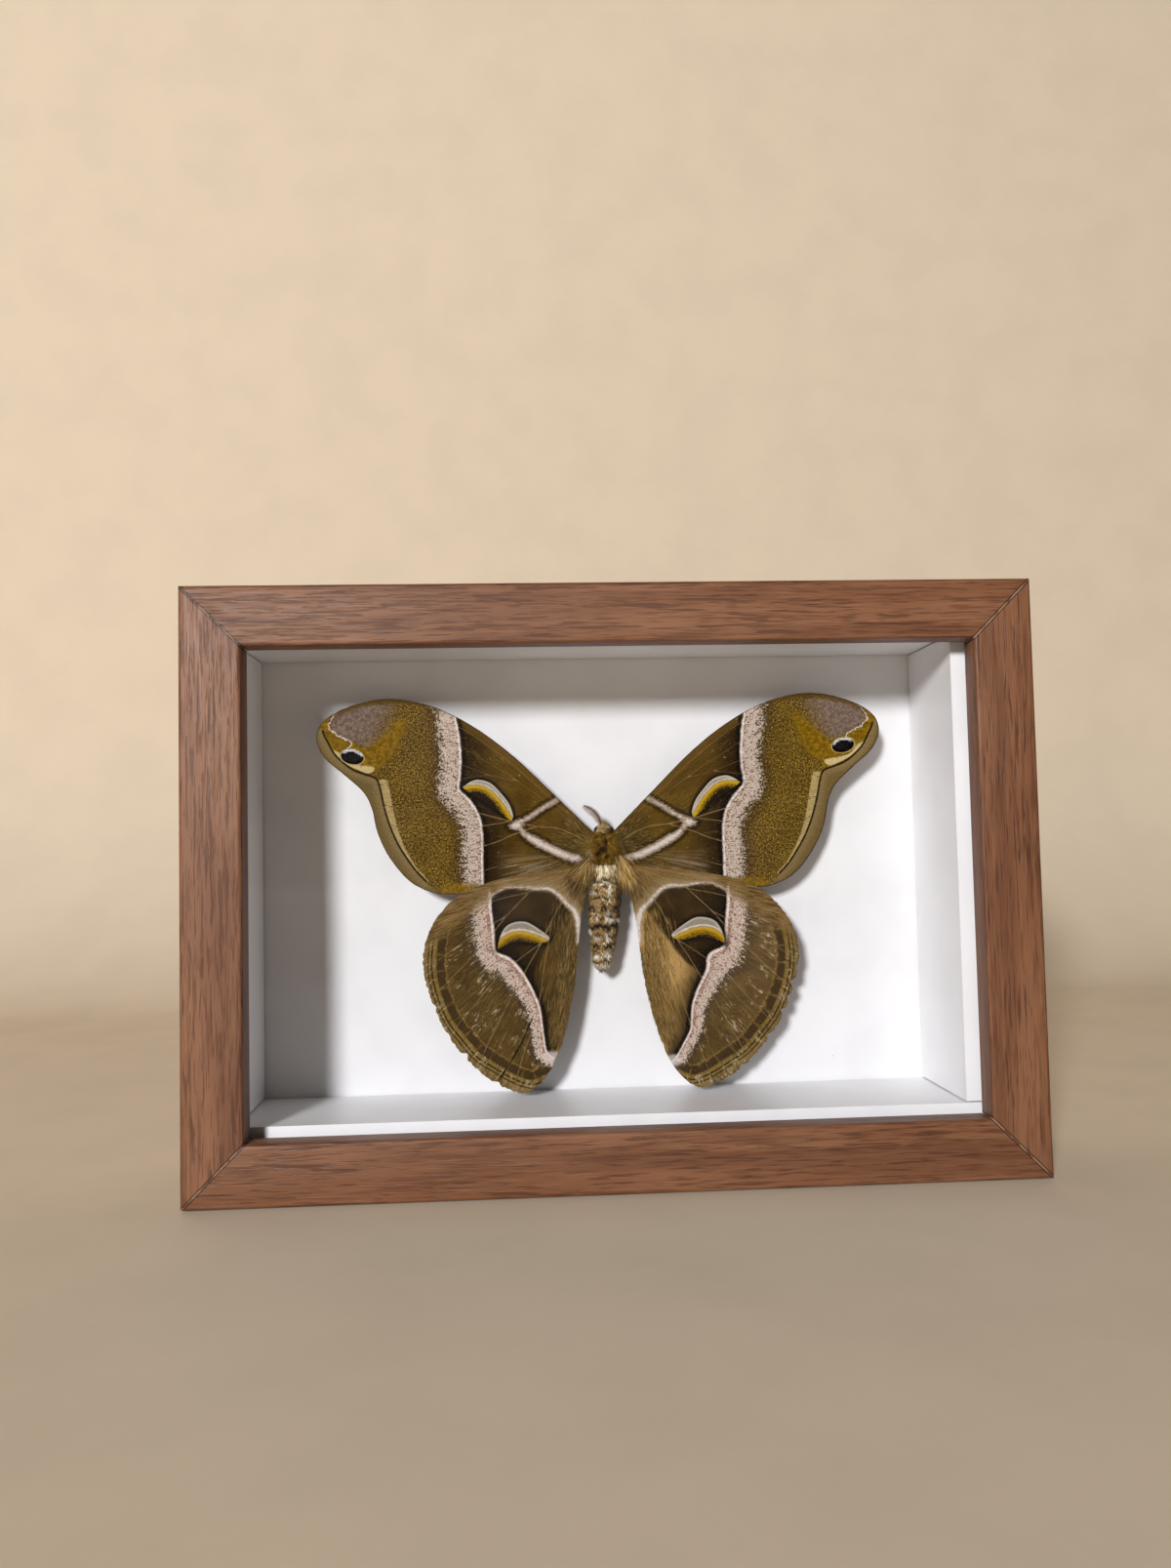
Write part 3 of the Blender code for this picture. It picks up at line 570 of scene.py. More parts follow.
    def finish(self, tone: object, gloss: object, *reliefs: tuple[Socket, float, float],
               **values: float) -> Stuff:
        """Dress the shader.

        Args:
            tone: the colour that the surface shows.
            gloss: how rough it is.
            reliefs: heights from 0 to 1, each with its depth in millimetres and how much of it shows.
            values: plain inputs of the shader, with an underscore for each space in their names.

        Returns:
            The material.
        """
        inputs = self.shader.inputs
        self.feed(inputs["Base Color"], tone)
        self.feed(inputs["Roughness"], gloss)
        for height, depth, strength in reliefs:
            bump = self.add("Bump", {"Strength": strength, "Distance": depth * MM, "Height": height})
            if inputs["Normal"].is_linked:
                self.feed(bump.inputs["Normal"], inputs["Normal"].links[0].from_socket)
            self.feed(inputs["Normal"], bump.outputs["Normal"])
        for name, value in values.items():
            inputs[name.replace("_", " ")].default_value = value
        return self.stuff


@dataclass(frozen=True)
class WoodFoil:
    """Walnut-look foil on the moulding, with its grain along the length."""

    grain: Grain
    base: Rgb = (118, 76, 50)
    pale: Rgb = (142, 100, 72)
    dark: Rgb = (92, 54, 34)
    pore: Rgb = (58, 30, 18)
    core: Rgb = (196, 158, 128)
    joint: Rgb = (40, 20, 12)

    def make(self) -> Stuff:
        """The foil's material, with the cut core showing as a thin line at the mitres."""
        paint = Paint(f"wood_foil_{self.grain.value}")

        def cloud(along: float, across: float, *shape: float) -> Socket:
            """Noise with one scale along the grain and one across it."""
            stretch = (along, across, across) if self.grain is Grain.ACROSS else (across, across, along)
            return paint.noise(paint.place(*stretch), 1.0, *shape)

        fibre = cloud(0.07, 2.6, 4.0, 0.65)
        pores = paint.span(cloud(0.14, 2.9, 2.0, 0.5, 0.2), 0.55, 0.67, 0.0, 0.5)
        flecks = paint.span(cloud(0.09, 1.7, 2.0, 0.5, 0.4), 0.57, 0.68, 0.0, 0.6)
        holes = paint.sum("MAXIMUM", pores, flecks)
        mitre = self.mitre(paint)
        worn = paint.span(paint.noise(paint.place(), 0.35, 2.0), 0.42, 0.55, 0.15, 1.0)
        tone = paint.over(
            self.base,
            (self.pale, cloud(0.02, 0.1), 0.4, 0.66, 0.0, 0.55),
            (self.dark, cloud(0.06, 0.9, 3.0, 0.6, 0.35), 0.48, 0.68, 0.0, 0.7),
            (self.pale, fibre, 0.52, 0.7, 0.0, 0.6),
            (self.dark, cloud(0.008, 0.13, 2.0, 0.55, 0.5), 0.5, 0.7, 0.0, 0.5),
            (self.pore, holes),
            (self.core, paint.times(paint.span(mitre, 0.1, 0.24, 1.0, 0.0), worn)),
            (self.joint, paint.near(mitre, 0.36, 0.06, 0.16)),
        )
        return paint.finish(tone, paint.span(fibre, 0.3, 0.8, 0.4, 0.58),
                            (paint.sum("SUBTRACT", fibre, holes), 0.09, 0.7), Specular_IOR_Level=0.3)

    @staticmethod
    def mitre(paint: Paint) -> Socket:
        """How far a place is from the nearest mitre line.

        Args:
            paint: the foil's tree.

        Returns:
            Millimetres.
        """
        parts = paint.add("SeparateXYZ", {0: paint.place()}).outputs
        side = paint.sum("SUBTRACT", CASE_WIDTH / 2, paint.sum("ABSOLUTE", parts["X"]))
        lift = paint.sum("ABSOLUTE", paint.sum("SUBTRACT", parts["Z"], CASE_HEIGHT / 2))
        top = paint.sum("SUBTRACT", CASE_HEIGHT / 2, lift)
        return paint.sum("ABSOLUTE", paint.sum("SUBTRACT", side, top))


@dataclass(frozen=True)
class CardStock:
    """White card, very slightly fibrous, with a little dust where it is a floor."""

    name: str
    base: Rgb = (228, 228, 229)
    shade: Rgb = (220, 220, 221)
    grime: Rgb = (112, 98, 78)
    dust: float = 0.0
    matt: float = 0.62
    bright: float = 0.2

    def make(self) -> Stuff:
        """The card's material."""
        paint = Paint(self.name)
        place = paint.place()
        fibre = paint.noise(paint.place(1.0, 1.0, 3.0), 1.6, 4.0, 0.7)
        tone = paint.over(self.base, (self.shade, paint.noise(place, 0.06), 0.35, 0.75),
                          (self.shade, fibre, 0.55, 0.8, 0.0, 0.5))
        if self.dust:
            where = paint.span(paint.noise(place, 0.045, 1.0), 0.57, 0.68)
            size = paint.span(paint.noise(place, 0.9, 1.0), 0.5, 0.72, 0.015, 0.1)
            specks = paint.sum("LESS_THAN", paint.grains(place, 0.8), size)
            tone = paint.over(tone, (self.grime, paint.times(specks, where, self.dust)))
        return paint.finish(tone, paint.span(fibre, 0.3, 0.8, self.matt, self.matt + 0.15),
                            (fibre, 0.02, 0.5), Specular_IOR_Level=self.bright)


@dataclass(frozen=True)
class HardBoard:
    """Brown pressed fibreboard, smooth on its outer face."""

    base: Rgb = (116, 82, 55)
    pale: Rgb = (146, 110, 78)
    dark: Rgb = (84, 56, 36)

    def make(self) -> Stuff:
        """The board's material."""
        paint = Paint("hard_board")
        place = paint.place()
        fibre = paint.noise(place, 1.3, 5.0, 0.7, 0.8)
        tone = paint.over(self.base, (self.pale, fibre, 0.5, 0.75),
                          (self.dark, paint.noise(place, 0.05), 0.45, 0.75, 0.0, 0.6),
                          (self.dark, paint.grains(place, 0.8), 0.0, 0.16, 0.6, 0.0))
        return paint.finish(tone, paint.span(fibre, 0.3, 0.8, 0.5, 0.72), (fibre, 0.05, 0.6))


@dataclass(frozen=True)
class PressedSteel:
    """Zinc-bright steel of the tabs and the hanger, with rolling marks and faint spangle."""

    base: Rgb = (176, 178, 180)
    dull: Rgb = (128, 130, 134)
    stain: Rgb = (96, 84, 70)

    def make(self) -> Stuff:
        """The steel's material."""
        paint = Paint("pressed_steel")
        place = paint.place()
        rolled = paint.noise(paint.place(0.2, 1.0, 6.0), 1.0, 3.0, 0.6)
        tone = paint.over(self.base, (self.dull, paint.noise(place, 0.5, 2.0), 0.4, 0.7),
                          (self.stain, paint.noise(place, 0.25, 4.0), 0.66, 0.8, 0.0, 0.5))
        return paint.finish(tone, paint.span(rolled, 0.3, 0.75, 0.22, 0.48), (rolled, 0.02, 0.5),
                            Metallic=1.0)


@dataclass(frozen=True)
class Pane:
    """Clear picture glass that passes light, with faint dust and wipe marks."""

    tint: Rgb = (254, 254, 255)
    dust: Rgb = (214, 210, 204)
    mirror: float = 0.12

    def make(self) -> Stuff:
        """The glass's material: clear, with a mirror layer by angle and dust on it."""
        paint = Paint("picture_glass")
        paint.tree.nodes.remove(paint.shader)
        place = paint.place()
        wipe = paint.noise(paint.place(0.05, 1.0, 0.12), 1.0, 4.0, 0.6, 1.2)
        clear = paint.add("BsdfTransparent", {"Color": self.tint}).outputs[0]
        mirror = paint.add("BsdfGlossy", {"Roughness": paint.span(wipe, 0.45, 0.75, 0.015, 0.09)}).outputs[0]
        angle = paint.times(paint.add("Fresnel", {"IOR": 1.45}).outputs[0], self.mirror)
        shine = paint.add("MixShader", {0: angle, 1: clear, 2: mirror}).outputs[0]
        haze = paint.span(paint.noise(place, 0.035), 0.45, 0.75, 0.001, 0.006)
        specks = paint.times(paint.span(paint.grains(place, 0.35), 0.0, 0.045, 1.0, 0.0),
                             paint.span(paint.noise(place, 0.2, 1.0), 0.5, 0.62), 0.35)
        dust = paint.add("BsdfDiffuse", {"Color": self.dust}).outputs[0]
        dusty = paint.add("MixShader", {0: paint.sum("MAXIMUM", haze, specks), 1: shine, 2: dust})
        paint.feed(paint.tree.nodes["Material Output"].inputs["Surface"], dusty.outputs[0])
        return paint.stuff


@dataclass(frozen=True)
class FoamPad:
    """White plastic foam of the pad that the moth stands on."""

    base: Rgb = (233, 232, 226)
    cell: Rgb = (205, 203, 195)

    def make(self) -> Stuff:
        """The foam's material."""
        paint = Paint("foam_pad")
        cells = paint.grains(paint.place(), 2.2)
        return paint.finish(paint.over(self.cell, (self.base, cells, 0.05, 0.5)),
                            paint.span(cells, 0.0, 0.6, 0.95, 0.7), (cells, 0.12, 0.8))


@dataclass(frozen=True)
class EyeShell:
    """The dark, finely faceted shell of a compound eye."""

    base: Rgb = (26, 17, 12)
    glow: Rgb = (70, 44, 26)

    def make(self) -> Stuff:
        """The eye's material."""
        paint = Paint("eye_shell")
        facets = paint.grains(paint.place(), 9.0)
        tone = paint.over(self.base, (self.glow, paint.noise(paint.place(), 1.2, 2.0), 0.45, 0.75, 0.0, 0.6))
        return paint.finish(tone, paint.span(facets, 0.0, 0.6, 0.2, 0.42), (facets, 0.03, 0.8),
                            Coat_Weight=0.4, Coat_Roughness=0.1)


@dataclass(frozen=True)
class CoatOfHair:
    """Hair and scales whose colour is stored on each tuft, darker at the root."""

    name: str
    shine: float = 0.55
    rooted: float = 0.45
    deep: Rgb = (60, 42, 20)
    sunlight: Rgb = (255, 246, 226)

    def make(self) -> Stuff:
        """The coat's material."""
        paint = Paint(self.name)
        streak = paint.noise(paint.place(), 3.0, 3.0, 0.6)
        tone = paint.measure("coat", "Color")
        tone = paint.over(tone, (paint.blend("MULTIPLY", tone, self.deep),
                                 paint.measure("along"), 0.0, 0.6, self.rooted, 0.0))
        lit = paint.blend("SOFT_LIGHT", tone, self.sunlight)
        tone = paint.over(tone, (lit, streak, 0.45, 0.75, 0.0, 0.6))
        return paint.finish(tone, paint.span(streak, 0.3, 0.8, self.shine - 0.1, self.shine + 0.2),
                            (streak, 0.03, 0.4), Specular_IOR_Level=0.15)


@dataclass(frozen=True)
class BodySkin:
    """The hairy skin under the coat, in the same colours."""

    name: str = "body_skin"
    cleft: Rgb = (34, 22, 10)

    def make(self) -> Stuff:
        """The skin's material."""
        paint = Paint(self.name)
        scale = paint.grains(paint.place(3.2, 3.2, 1.3), 1.0)
        fuzz = paint.noise(paint.place(4.0, 4.0, 1.2), 1.0, 4.0, 0.7)
        tone = paint.over(paint.measure("coat", "Color"), (self.cleft, scale, 0.2, 0.8, 0.1, 0.75))
        return paint.finish(tone, paint.span(fuzz, 0.3, 0.8, 0.7, 0.95), (fuzz, 0.25, 0.9),
                            Specular_IOR_Level=0.12)


@dataclass(frozen=True)
class FeelerHorn:
    """Reddish horn of the antenna's shaft, paler on its fine branches."""

    shaft: Rgb = (98, 58, 34)
    branch: Rgb = (186, 170, 152)
    ring: Rgb = (52, 28, 16)

    def make(self) -> Stuff:
        """The antenna's material."""
        paint = Paint("feeler_horn")
        rings = paint.noise(paint.place(), 4.0, 2.0)
        tone = paint.over(self.shaft, (self.branch, paint.measure("along"), 0.02, 0.3),
                          (self.ring, rings, 0.5, 0.75, 0.0, 0.6))
        return paint.finish(tone, paint.span(rings, 0.3, 0.8, 0.4, 0.65), (rings, 0.03, 0.6))


class WingScales:
    """The scaled face of a wing; its two kinds lay their own markings on it."""

    name = "wing_scales"
    vein_tone: Rgb = (174, 150, 110)
    shadow: Rgb = (128, 118, 104)
    powder: Rgb = (222, 206, 178)
    frost: Rgb = (216, 204, 192)
    fleck: Rgb = (198, 176, 162)
    depth: float = 1.22

    def make(self) -> Stuff:
        """The wing's material: markings, then veins, fine scales and relief."""
        paint = Paint(self.name)
        plan = paint.measure("plan", "Vector")
        ray = paint.measure("ray", "Vector")
        tone = self.markings(paint, plan, ray)
        fine = paint.noise(plan, 4.0, 3.0, 0.7)
        tone = paint.over(tone, (paint.blend("MULTIPLY", tone, self.shadow), fine, 0.46, 0.66, 0.0, 0.6),
                          (self.powder, paint.noise(plan, 3.1, 2.0, 0.6), 0.64, 0.74, 0.0, 0.3))
        rich = paint.add("Gamma", {"Color": tone, "Gamma": self.depth})
        return paint.finish(
            rich.outputs[0],
            paint.span(paint.noise(plan, 0.5), 0.35, 0.7, 0.72, 0.92),
            (paint.grains(paint.stretched(plan, 5.5, 5.5, 1.0), 1.0), 0.03, 0.5),
            (paint.noise(paint.stretched(ray, 0.9, 0.25, 1.0), 1.0), 0.2, 0.5),
            (fine, 0.07, 0.5),
            Specular_IOR_Level=0.03,
        )

    def markings(self, paint: Paint, plan: Socket, ray: Socket) -> Socket:
        """The wing's colours before veins and scales."""
        raise NotImplementedError

    @staticmethod
    def burnt(paint: Paint, speck: Socket, amount: float, split: Socket) -> Socket:
        """The moon's split, broken up by specks where its yellow ends."""
        return paint.sum("MULTIPLY_ADD", paint.sum("SUBTRACT", speck, 0.5), amount, split)

    def band_zone(self, paint: Paint, under: Socket, plan: Socket, ray: Socket, rose: Rgb, width: object,
                  frost_at: tuple[float, float, float]) -> Socket:
        """The rosy zone beyond the band's line, with pale frost that thins out over the field.

        Args:
            paint: the material's tree.
            under: the field's colour.
            plan: the place on the wing.
            ray: the place by angle and distance from the root.
            rose: the zone's colour.
            width: how broad its full part is.
            frost_at: where the frost is thickest, how broad it is there and how far it fades.

        Returns:
            The colour.
        """
        far = paint.shaken(paint.shaken(paint.measure("band"), plan, 0.35, 2.2), plan, 1.3, 1.0)
        fine = paint.noise(plan, 2.3, 2.0, 0.6)
        hairs = paint.noise(paint.stretched(ray, 2.2, 4.0, 1.0), 1.0, 2.0, 0.6)
        mixed = paint.sum("MULTIPLY_ADD", hairs, 0.35, paint.times(fine, 0.65))
        beyond = paint.span(paint.sum("SUBTRACT", far, width), -0.6, 3.0, 1.0, 0.0)
        full = paint.span(paint.sum("MULTIPLY_ADD", beyond, 0.55, mixed), 0.62, 0.8)
        flecked = paint.over(rose, (self.fleck, fine, 0.54, 0.68, 0.0, 0.6),
                             (tuple(c * 0.74 for c in rose), mixed, 0.36, 0.47, 0.7, 0.0))
        reach = paint.near(far, *frost_at)
        grain = paint.sum("MULTIPLY_ADD", reach, 0.3, mixed)
        frosted = paint.times(paint.span(grain, 0.7, 0.82), paint.span(reach, 0.0, 0.2), 0.8)
        return paint.over(under, (flecked, paint.times(full, 0.96)), (self.frost, frosted))


class ForeScales(WingScales):
    """Markings of the forewing."""

    name = "forewing_scales"

    def markings(self, paint: Paint, plan: Socket, ray: Socket) -> Socket:
        """The wing's colours before the fine scales.

        Args:
            paint: the material's tree.
            plan: the place on the wing in millimetres.
            ray: the place as an angle round the root and a distance from it.

        Returns:
            The colour.
        """
        read, span, near, times, shaken = paint.measure, paint.span, paint.near, paint.times, paint.shaken
        cloud = paint.noise(plan, 0.16)
        mottle = paint.noise(plan, 1.1, 3.0, 0.65)
        speck = paint.noise(plan, 2.7, 3.0, 0.7)
        streak = paint.noise(ray, 1.0, 3.0, 0.6)
        hairs = paint.noise(paint.stretched(ray, 2.6, 1.6, 1.0), 1.0, 3.0, 0.6)
        band = shaken(shaken(read("band"), plan, 1.3, 0.5), plan, 0.5, 0.9)
        broad = shaken(read("band"), plan, 0.55, 2.2)

        stray = times(span(paint.noise(plan, 1.9, 1.0), 0.68, 0.74), span(cloud, 0.45, 0.6, 0.0, 0.6))
        inner = paint.over(
            (102, 80, 30),
            ((116, 93, 38), cloud, 0.4, 0.66),
            ((124, 99, 48), times(read("base"), 0.35)),
            ((50, 35, 12), broad, -9.5, -0.4, 0.0, 0.94),
            ((66, 48, 18), hairs, 0.48, 0.68, 0.0, 0.5),
            ((134, 110, 60), streak, 0.3, 0.43, 0.28, 0.0),
            ((120, 95, 46), times(read("costa"), 0.7)),
            ((158, 144, 122), times(read("haze"), span(streak, 0.44, 0.6, 0.05, 0.75))),
            ((196, 178, 140), stray),
        )

        field_tone = paint.over(
            (112, 90, 34),
            ((128, 104, 42), cloud, 0.4, 0.65),
            ((184, 158, 84), speck, 0.36, 0.48, 0.85, 0.0),
            ((36, 24, 4), speck, 0.5, 0.62, 0.0, 0.92),
            ((76, 57, 26), mottle, 0.52, 0.66, 0.0, 0.5),
            ((80, 61, 36), times(span(broad, 4.4, 8.0, 1.0, 0.0), span(speck, 0.36, 0.52, 0.4, 0.9))),
        )
        gold = paint.over((158, 128, 30), ((124, 97, 14), mottle, 0.38, 0.6))
        dove = paint.over((150, 134, 124), ((122, 105, 95), mottle, 0.38, 0.6))
        lilac = times(read("lilac"), span(mottle, 0.3, 0.5, 0.75, 1.0))
        ashen = times(lilac, span(read("lilac"), 0.55, 1.0, 1.0, 0.35), span(cloud, 0.4, 0.55, 0.3, 1.0))
        zigzag = near(shaken(read("zigzag"), plan, 1.2, 1.5), 0.0, 0.05, 0.16)
        margin, spot = read("margin"), read("spot")
        cream = span(shaken(read("cream"), plan, 1.5, 0.4), -0.1, 0.2)
        wedge = span(read("wedge"), -0.12, 0.12)
        rung = span(read("rung"), 0.06, 0.2, 0.85, 0.0)
        outer = paint.over(
            self.band_zone(paint, field_tone, plan, ray, (152, 126, 108), 2.0, (2.4, 0.8, 4.2)),
            (gold, times(read("gold"), span(speck, 0.4, 0.6, 1.0, 0.8))),
            (dove, times(lilac, 0.94)),
            ((70, 54, 36), times(ashen, span(speck, 0.5, 0.62, 0.0, 0.65))),
            ((236, 228, 226), times(zigzag, span(speck, 0.4, 0.6, 1.0, 0.5))),
            ((142, 124, 86), margin, 0.0, 0.4),
            ((116, 98, 58), times(span(margin, 0.6, 2.2), 0.7)),
            ((192, 174, 126), times(cream, span(mottle, 0.3, 0.6, 1.0, 0.7))),
            ((204, 188, 142), wedge),
            ((72, 54, 24), times(paint.sum("MAXIMUM", cream, wedge), rung)),
            ((46, 31, 12), times(near(margin, 0.0, 0.13, 0.14), read("lined"))),
            ((104, 80, 36), times(read("tip"), 0.85)),
            ((190, 170, 122), times(near(spot, 1.07, 0.03, 0.06), 0.8)),
            ((14, 9, 7), spot, 0.97, 1.03, 1.0, 0.0),
            ((64, 58, 54), read("sheen")),
            ((230, 234, 238), read("glint")),
        )

        edge = near(shaken(read("band"), plan, 1.6, 0.7), 0.2, 0.14, 0.3)
        stripe = shaken(shaken(read("stripe"), paint.stretched(ray, 2.4, 9.0, 1.0), 1.0, 1.3), plan, 1.5, 0.8)
        moon, split = read("moon"), shaken(read("split"), plan, 1.4, 0.6)
        lens = paint.over(
            (158, 152, 138),
            ((200, 168, 44), split, -0.2, 0.3),
            ((156, 126, 22), split, 0.4, 0.9, 0.0, 0.8),
            ((46, 32, 10), self.burnt(paint, speck, 4.0, split), 0.9, 1.5),
        )
        vein = span(read("vein"), 0.05, 0.22, 0.65, 0.0)
        return paint.over(
            inner,
            (outer, band, -0.1, 0.1),
            ((236, 228, 220), times(edge, span(mottle, 0.36, 0.5, 0.5, 1.0))),
            ((28, 18, 6), times(near(band, -0.5, 0.25, 0.6), 0.8)),
            ((44, 31, 12), times(near(stripe, 0.55, 0.2, 0.5), 0.65)),
            ((168, 152, 136), stripe, -0.1, 0.4, 1.0, 0.0),
            ((220, 211, 203), stripe, -0.55, -0.1, 0.95, 0.0),
            ((24, 15, 6), moon, -1.1, -0.1, 0.0, 0.92),
            (lens, moon, -0.06, 0.14),
            ((204, 197, 184), times(near(moon, 0.22, 0.08, 0.22), span(split, -0.5, -0.1, 1.0, 0.0), 0.8)),
            ((216, 206, 190), times(near(split, -0.3, 0.06, 0.18), span(moon, 0.05, 0.3), 0.75)),
            (self.vein_tone, times(vein, span(mottle, 0.3, 0.6, 0.35, 1.0))),
            ((78, 56, 24), times(span(read("rim"), 0.05, 0.4, 1.0, 0.0), 0.65)),
        )


class HindScales(WingScales):
    """Markings of the hindwing."""

    name = "hindwing_scales"
    edge_stops: tuple[tuple[float, Rgb], ...] = (
        (0.0, (140, 118, 66)), (0.09, (144, 122, 70)), (0.12, (52, 38, 14)), (0.17, (52, 38, 14)),
        (0.21, (140, 118, 68)), (0.34, (142, 120, 72)), (0.38, (56, 41, 16)), (0.42, (60, 44, 18)),
        (0.49, (144, 122, 78)), (1.0, (134, 114, 74)),
    )

    def markings(self, paint: Paint, plan: Socket, ray: Socket) -> Socket:
        """The wing's colours before the fine scales.

        Args:
            paint: the material's tree.
            plan: the place on the wing in millimetres.
            ray: the place as an angle round the root and a distance from it.

        Returns:
            The colour.
        """
        read, span, near, times, shaken = paint.measure, paint.span, paint.near, paint.times, paint.shaken
        cloud = paint.noise(plan, 0.18)
        mottle = paint.noise(plan, 1.0, 3.0, 0.65)
        speck = paint.noise(plan, 2.4, 2.0, 0.6)
        streak = paint.noise(ray, 1.0, 4.0, 0.62)
        hairs = paint.noise(paint.stretched(ray, 3.4, 2.2, 1.0), 1.0, 3.0, 0.62)
        band = shaken(read("band"), plan, 1.2, 0.5)
        broad = shaken(read("band"), paint.stretched(ray, 1.6, 1.0, 1.0), 1.0, 2.0)
        # sunny is painted light that makes the right wing lighter; it also broadens that wing's rose zone,
        # which is its own pattern.
        cell, sunny, beyond = read("cell"), read("sunny"), read("outer")

        front = paint.over(
            (134, 110, 68),
            ((152, 128, 88), streak, 0.4, 0.62),
            ((94, 74, 38), hairs, 0.5, 0.66, 0.0, 0.6),
            ((172, 154, 124), times(span(read("arch"), 0.4, 3.0, 0.7, 0.0), span(hairs, 0.3, 0.6, 1.0, 0.3))),
        )
        hairy = paint.over(
            (98, 78, 34),
            ((126, 103, 54), streak, 0.4, 0.62),
            # Painted light: the right wing's root hair is lighter where sunny is up.
            ((204, 172, 116), times(sunny, span(cloud, 0.35, 0.6, 0.9, 1.2))),
            ((72, 55, 22), hairs, 0.5, 0.7, 0.0, 0.42),
            ((46, 33, 11), broad, -5.0, -0.4, 0.0, 0.8),
        )
        inside = paint.over(
            (78, 60, 24),
            ((62, 46, 18), cloud, 0.4, 0.6),
            ((38, 27, 9), broad, -6.5, -0.4, 0.0, 0.92),
            ((96, 76, 36), streak, 0.3, 0.44, 0.35, 0.0),
            (hairy, shaken(read("fold"), plan, 0.4, 0.8), -0.9, 0.1, 1.0, 0.0),
        )

        ground = paint.over(
            (112, 91, 48),
            ((98, 78, 38), cloud, 0.4, 0.62),
            ((66, 50, 22), hairs, 0.49, 0.62, 0.0, 0.4),
            ((64, 48, 22), speck, 0.5, 0.6, 0.0, 0.5),
            ((150, 126, 80), hairs, 0.34, 0.46, 0.42, 0.0),
            # Painted light: the right wing's field is lighter by sunny.
            ((142, 122, 92), times(sunny, 0.4)),
            ((84, 69, 58), times(span(broad, 4.6, 7.4, 1.0, 0.0), span(hairs, 0.36, 0.5, 0.35, 0.7))),
        )
        width = paint.sum("MULTIPLY_ADD", sunny, 0.6, 2.0)
        threads = paint.noise(paint.stretched(ray, 3.0, 3.4, 1.0), 1.0, 3.0, 0.7)
        scar = paint.sum("MULTIPLY_ADD", read("worn"), 0.3, paint.noise(plan, 0.35))
        wear = span(threads, 0.5, 0.62, 0.0, 0.85)
        patchy = times(span(scar, 0.6, 0.7), span(speck, 0.4, 0.6, 1.0, 0.4))
        line = shaken(read("line"), plan, 0.8, 0.3)
        wavy = shaken(shaken(read("line"), plan, 0.55, 1.2), plan, 1.6, 1.1)
        chain = times(span(wavy, -2.7, -2.4), span(line, -1.1, -0.85, 1.0, 0.0))
        blocks = times(span(wavy, -2.75, -2.5), span(line, -1.2, -0.98, 1.0, 0.0),
                       span(shaken(read("block"), plan, 0.5, 0.5), 0.06, 0.2, 0.0, 0.85))
        edge_tone = paint.over(
            paint.steps(span(line, -1.0, 3.0), self.edge_stops),
            ((80, 62, 28), hairs, 0.5, 0.62, 0.0, 0.55),
            ((212, 200, 172), times(wear, patchy, 0.7)),
        )
        ground = paint.over(
            self.band_zone(paint, ground, plan, ray, (168, 136, 120), width, (2.6, 0.6, 3.2)),
            ((206, 190, 160), times(wear, patchy)),
            ((150, 126, 70), times(near(wavy, -3.0, 0.06, 0.18), span(speck, 0.36, 0.6, 1.0, 0.3))),
            ((124, 102, 56), times(chain, 0.5)),
            ((66, 50, 32), times(blocks, 0.92)),
            (edge_tone, line, -1.05, -0.85),
        )

        lead = paint.over((144, 120, 78), ((104, 82, 44), hairs, 0.44, 0.6))
        edge = near(shaken(read("band"), plan, 1.6, 0.7), 0.2, 0.17, 0.35)
        arch = shaken(read("arch"), paint.stretched(ray, 2.8, 9.0, 1.0), 1.0, 1.3)
        moon, split = read("moon"), shaken(read("split"), plan, 1.2, 0.6)
        lens = paint.over(
            (158, 151, 138),
            ((196, 162, 50), split, -0.2, 0.3),
            ((148, 118, 20), split, 0.4, 1.0, 0.0, 0.8),
            ((52, 37, 13), self.burnt(paint, speck, 3.0, split), 1.0, 2.1),
        )
        vein = span(read("vein"), 0.05, 0.22, 0.6, 0.0)
        return paint.over(
            front,
            (inside, cell, -0.2, 0.2),
            (ground, times(span(band, -0.1, 0.1), beyond)),
            (lead, times(read("lead"), 0.9)),
            ((26, 18, 6), times(near(band, -0.5, 0.25, 0.6), span(cell, 0.0, 0.4), 0.8)),
            ((236, 226, 220), times(edge, beyond, span(mottle, 0.36, 0.5, 0.6, 1.0))),
            ((172, 156, 134), arch, 0.35, 0.95, 0.7, 0.0),
            ((222, 214, 204), arch, 0.02, 0.5, 0.9, 0.0),
            ((222, 212, 206), times(read("foot"), span(mottle, 0.3, 0.5, 1.0, 0.6))),
            ((26, 17, 7), moon, -1.3, -0.1, 0.0, 0.9),
            (lens, moon, -0.06, 0.14),
            ((202, 194, 182), times(near(moon, 0.22, 0.08, 0.22), span(split, -0.5, -0.1, 1.0, 0.0), 0.7)),
            ((224, 214, 198), times(near(split, -0.3, 0.07, 0.2), span(moon, 0.05, 0.3), 0.8)),
            (self.vein_tone, times(vein, span(mottle, 0.3, 0.6, 0.35, 1.0))),
            ((22, 14, 8), read("slit"), 0.08, 0.3, 1.0, 0.0),
        )


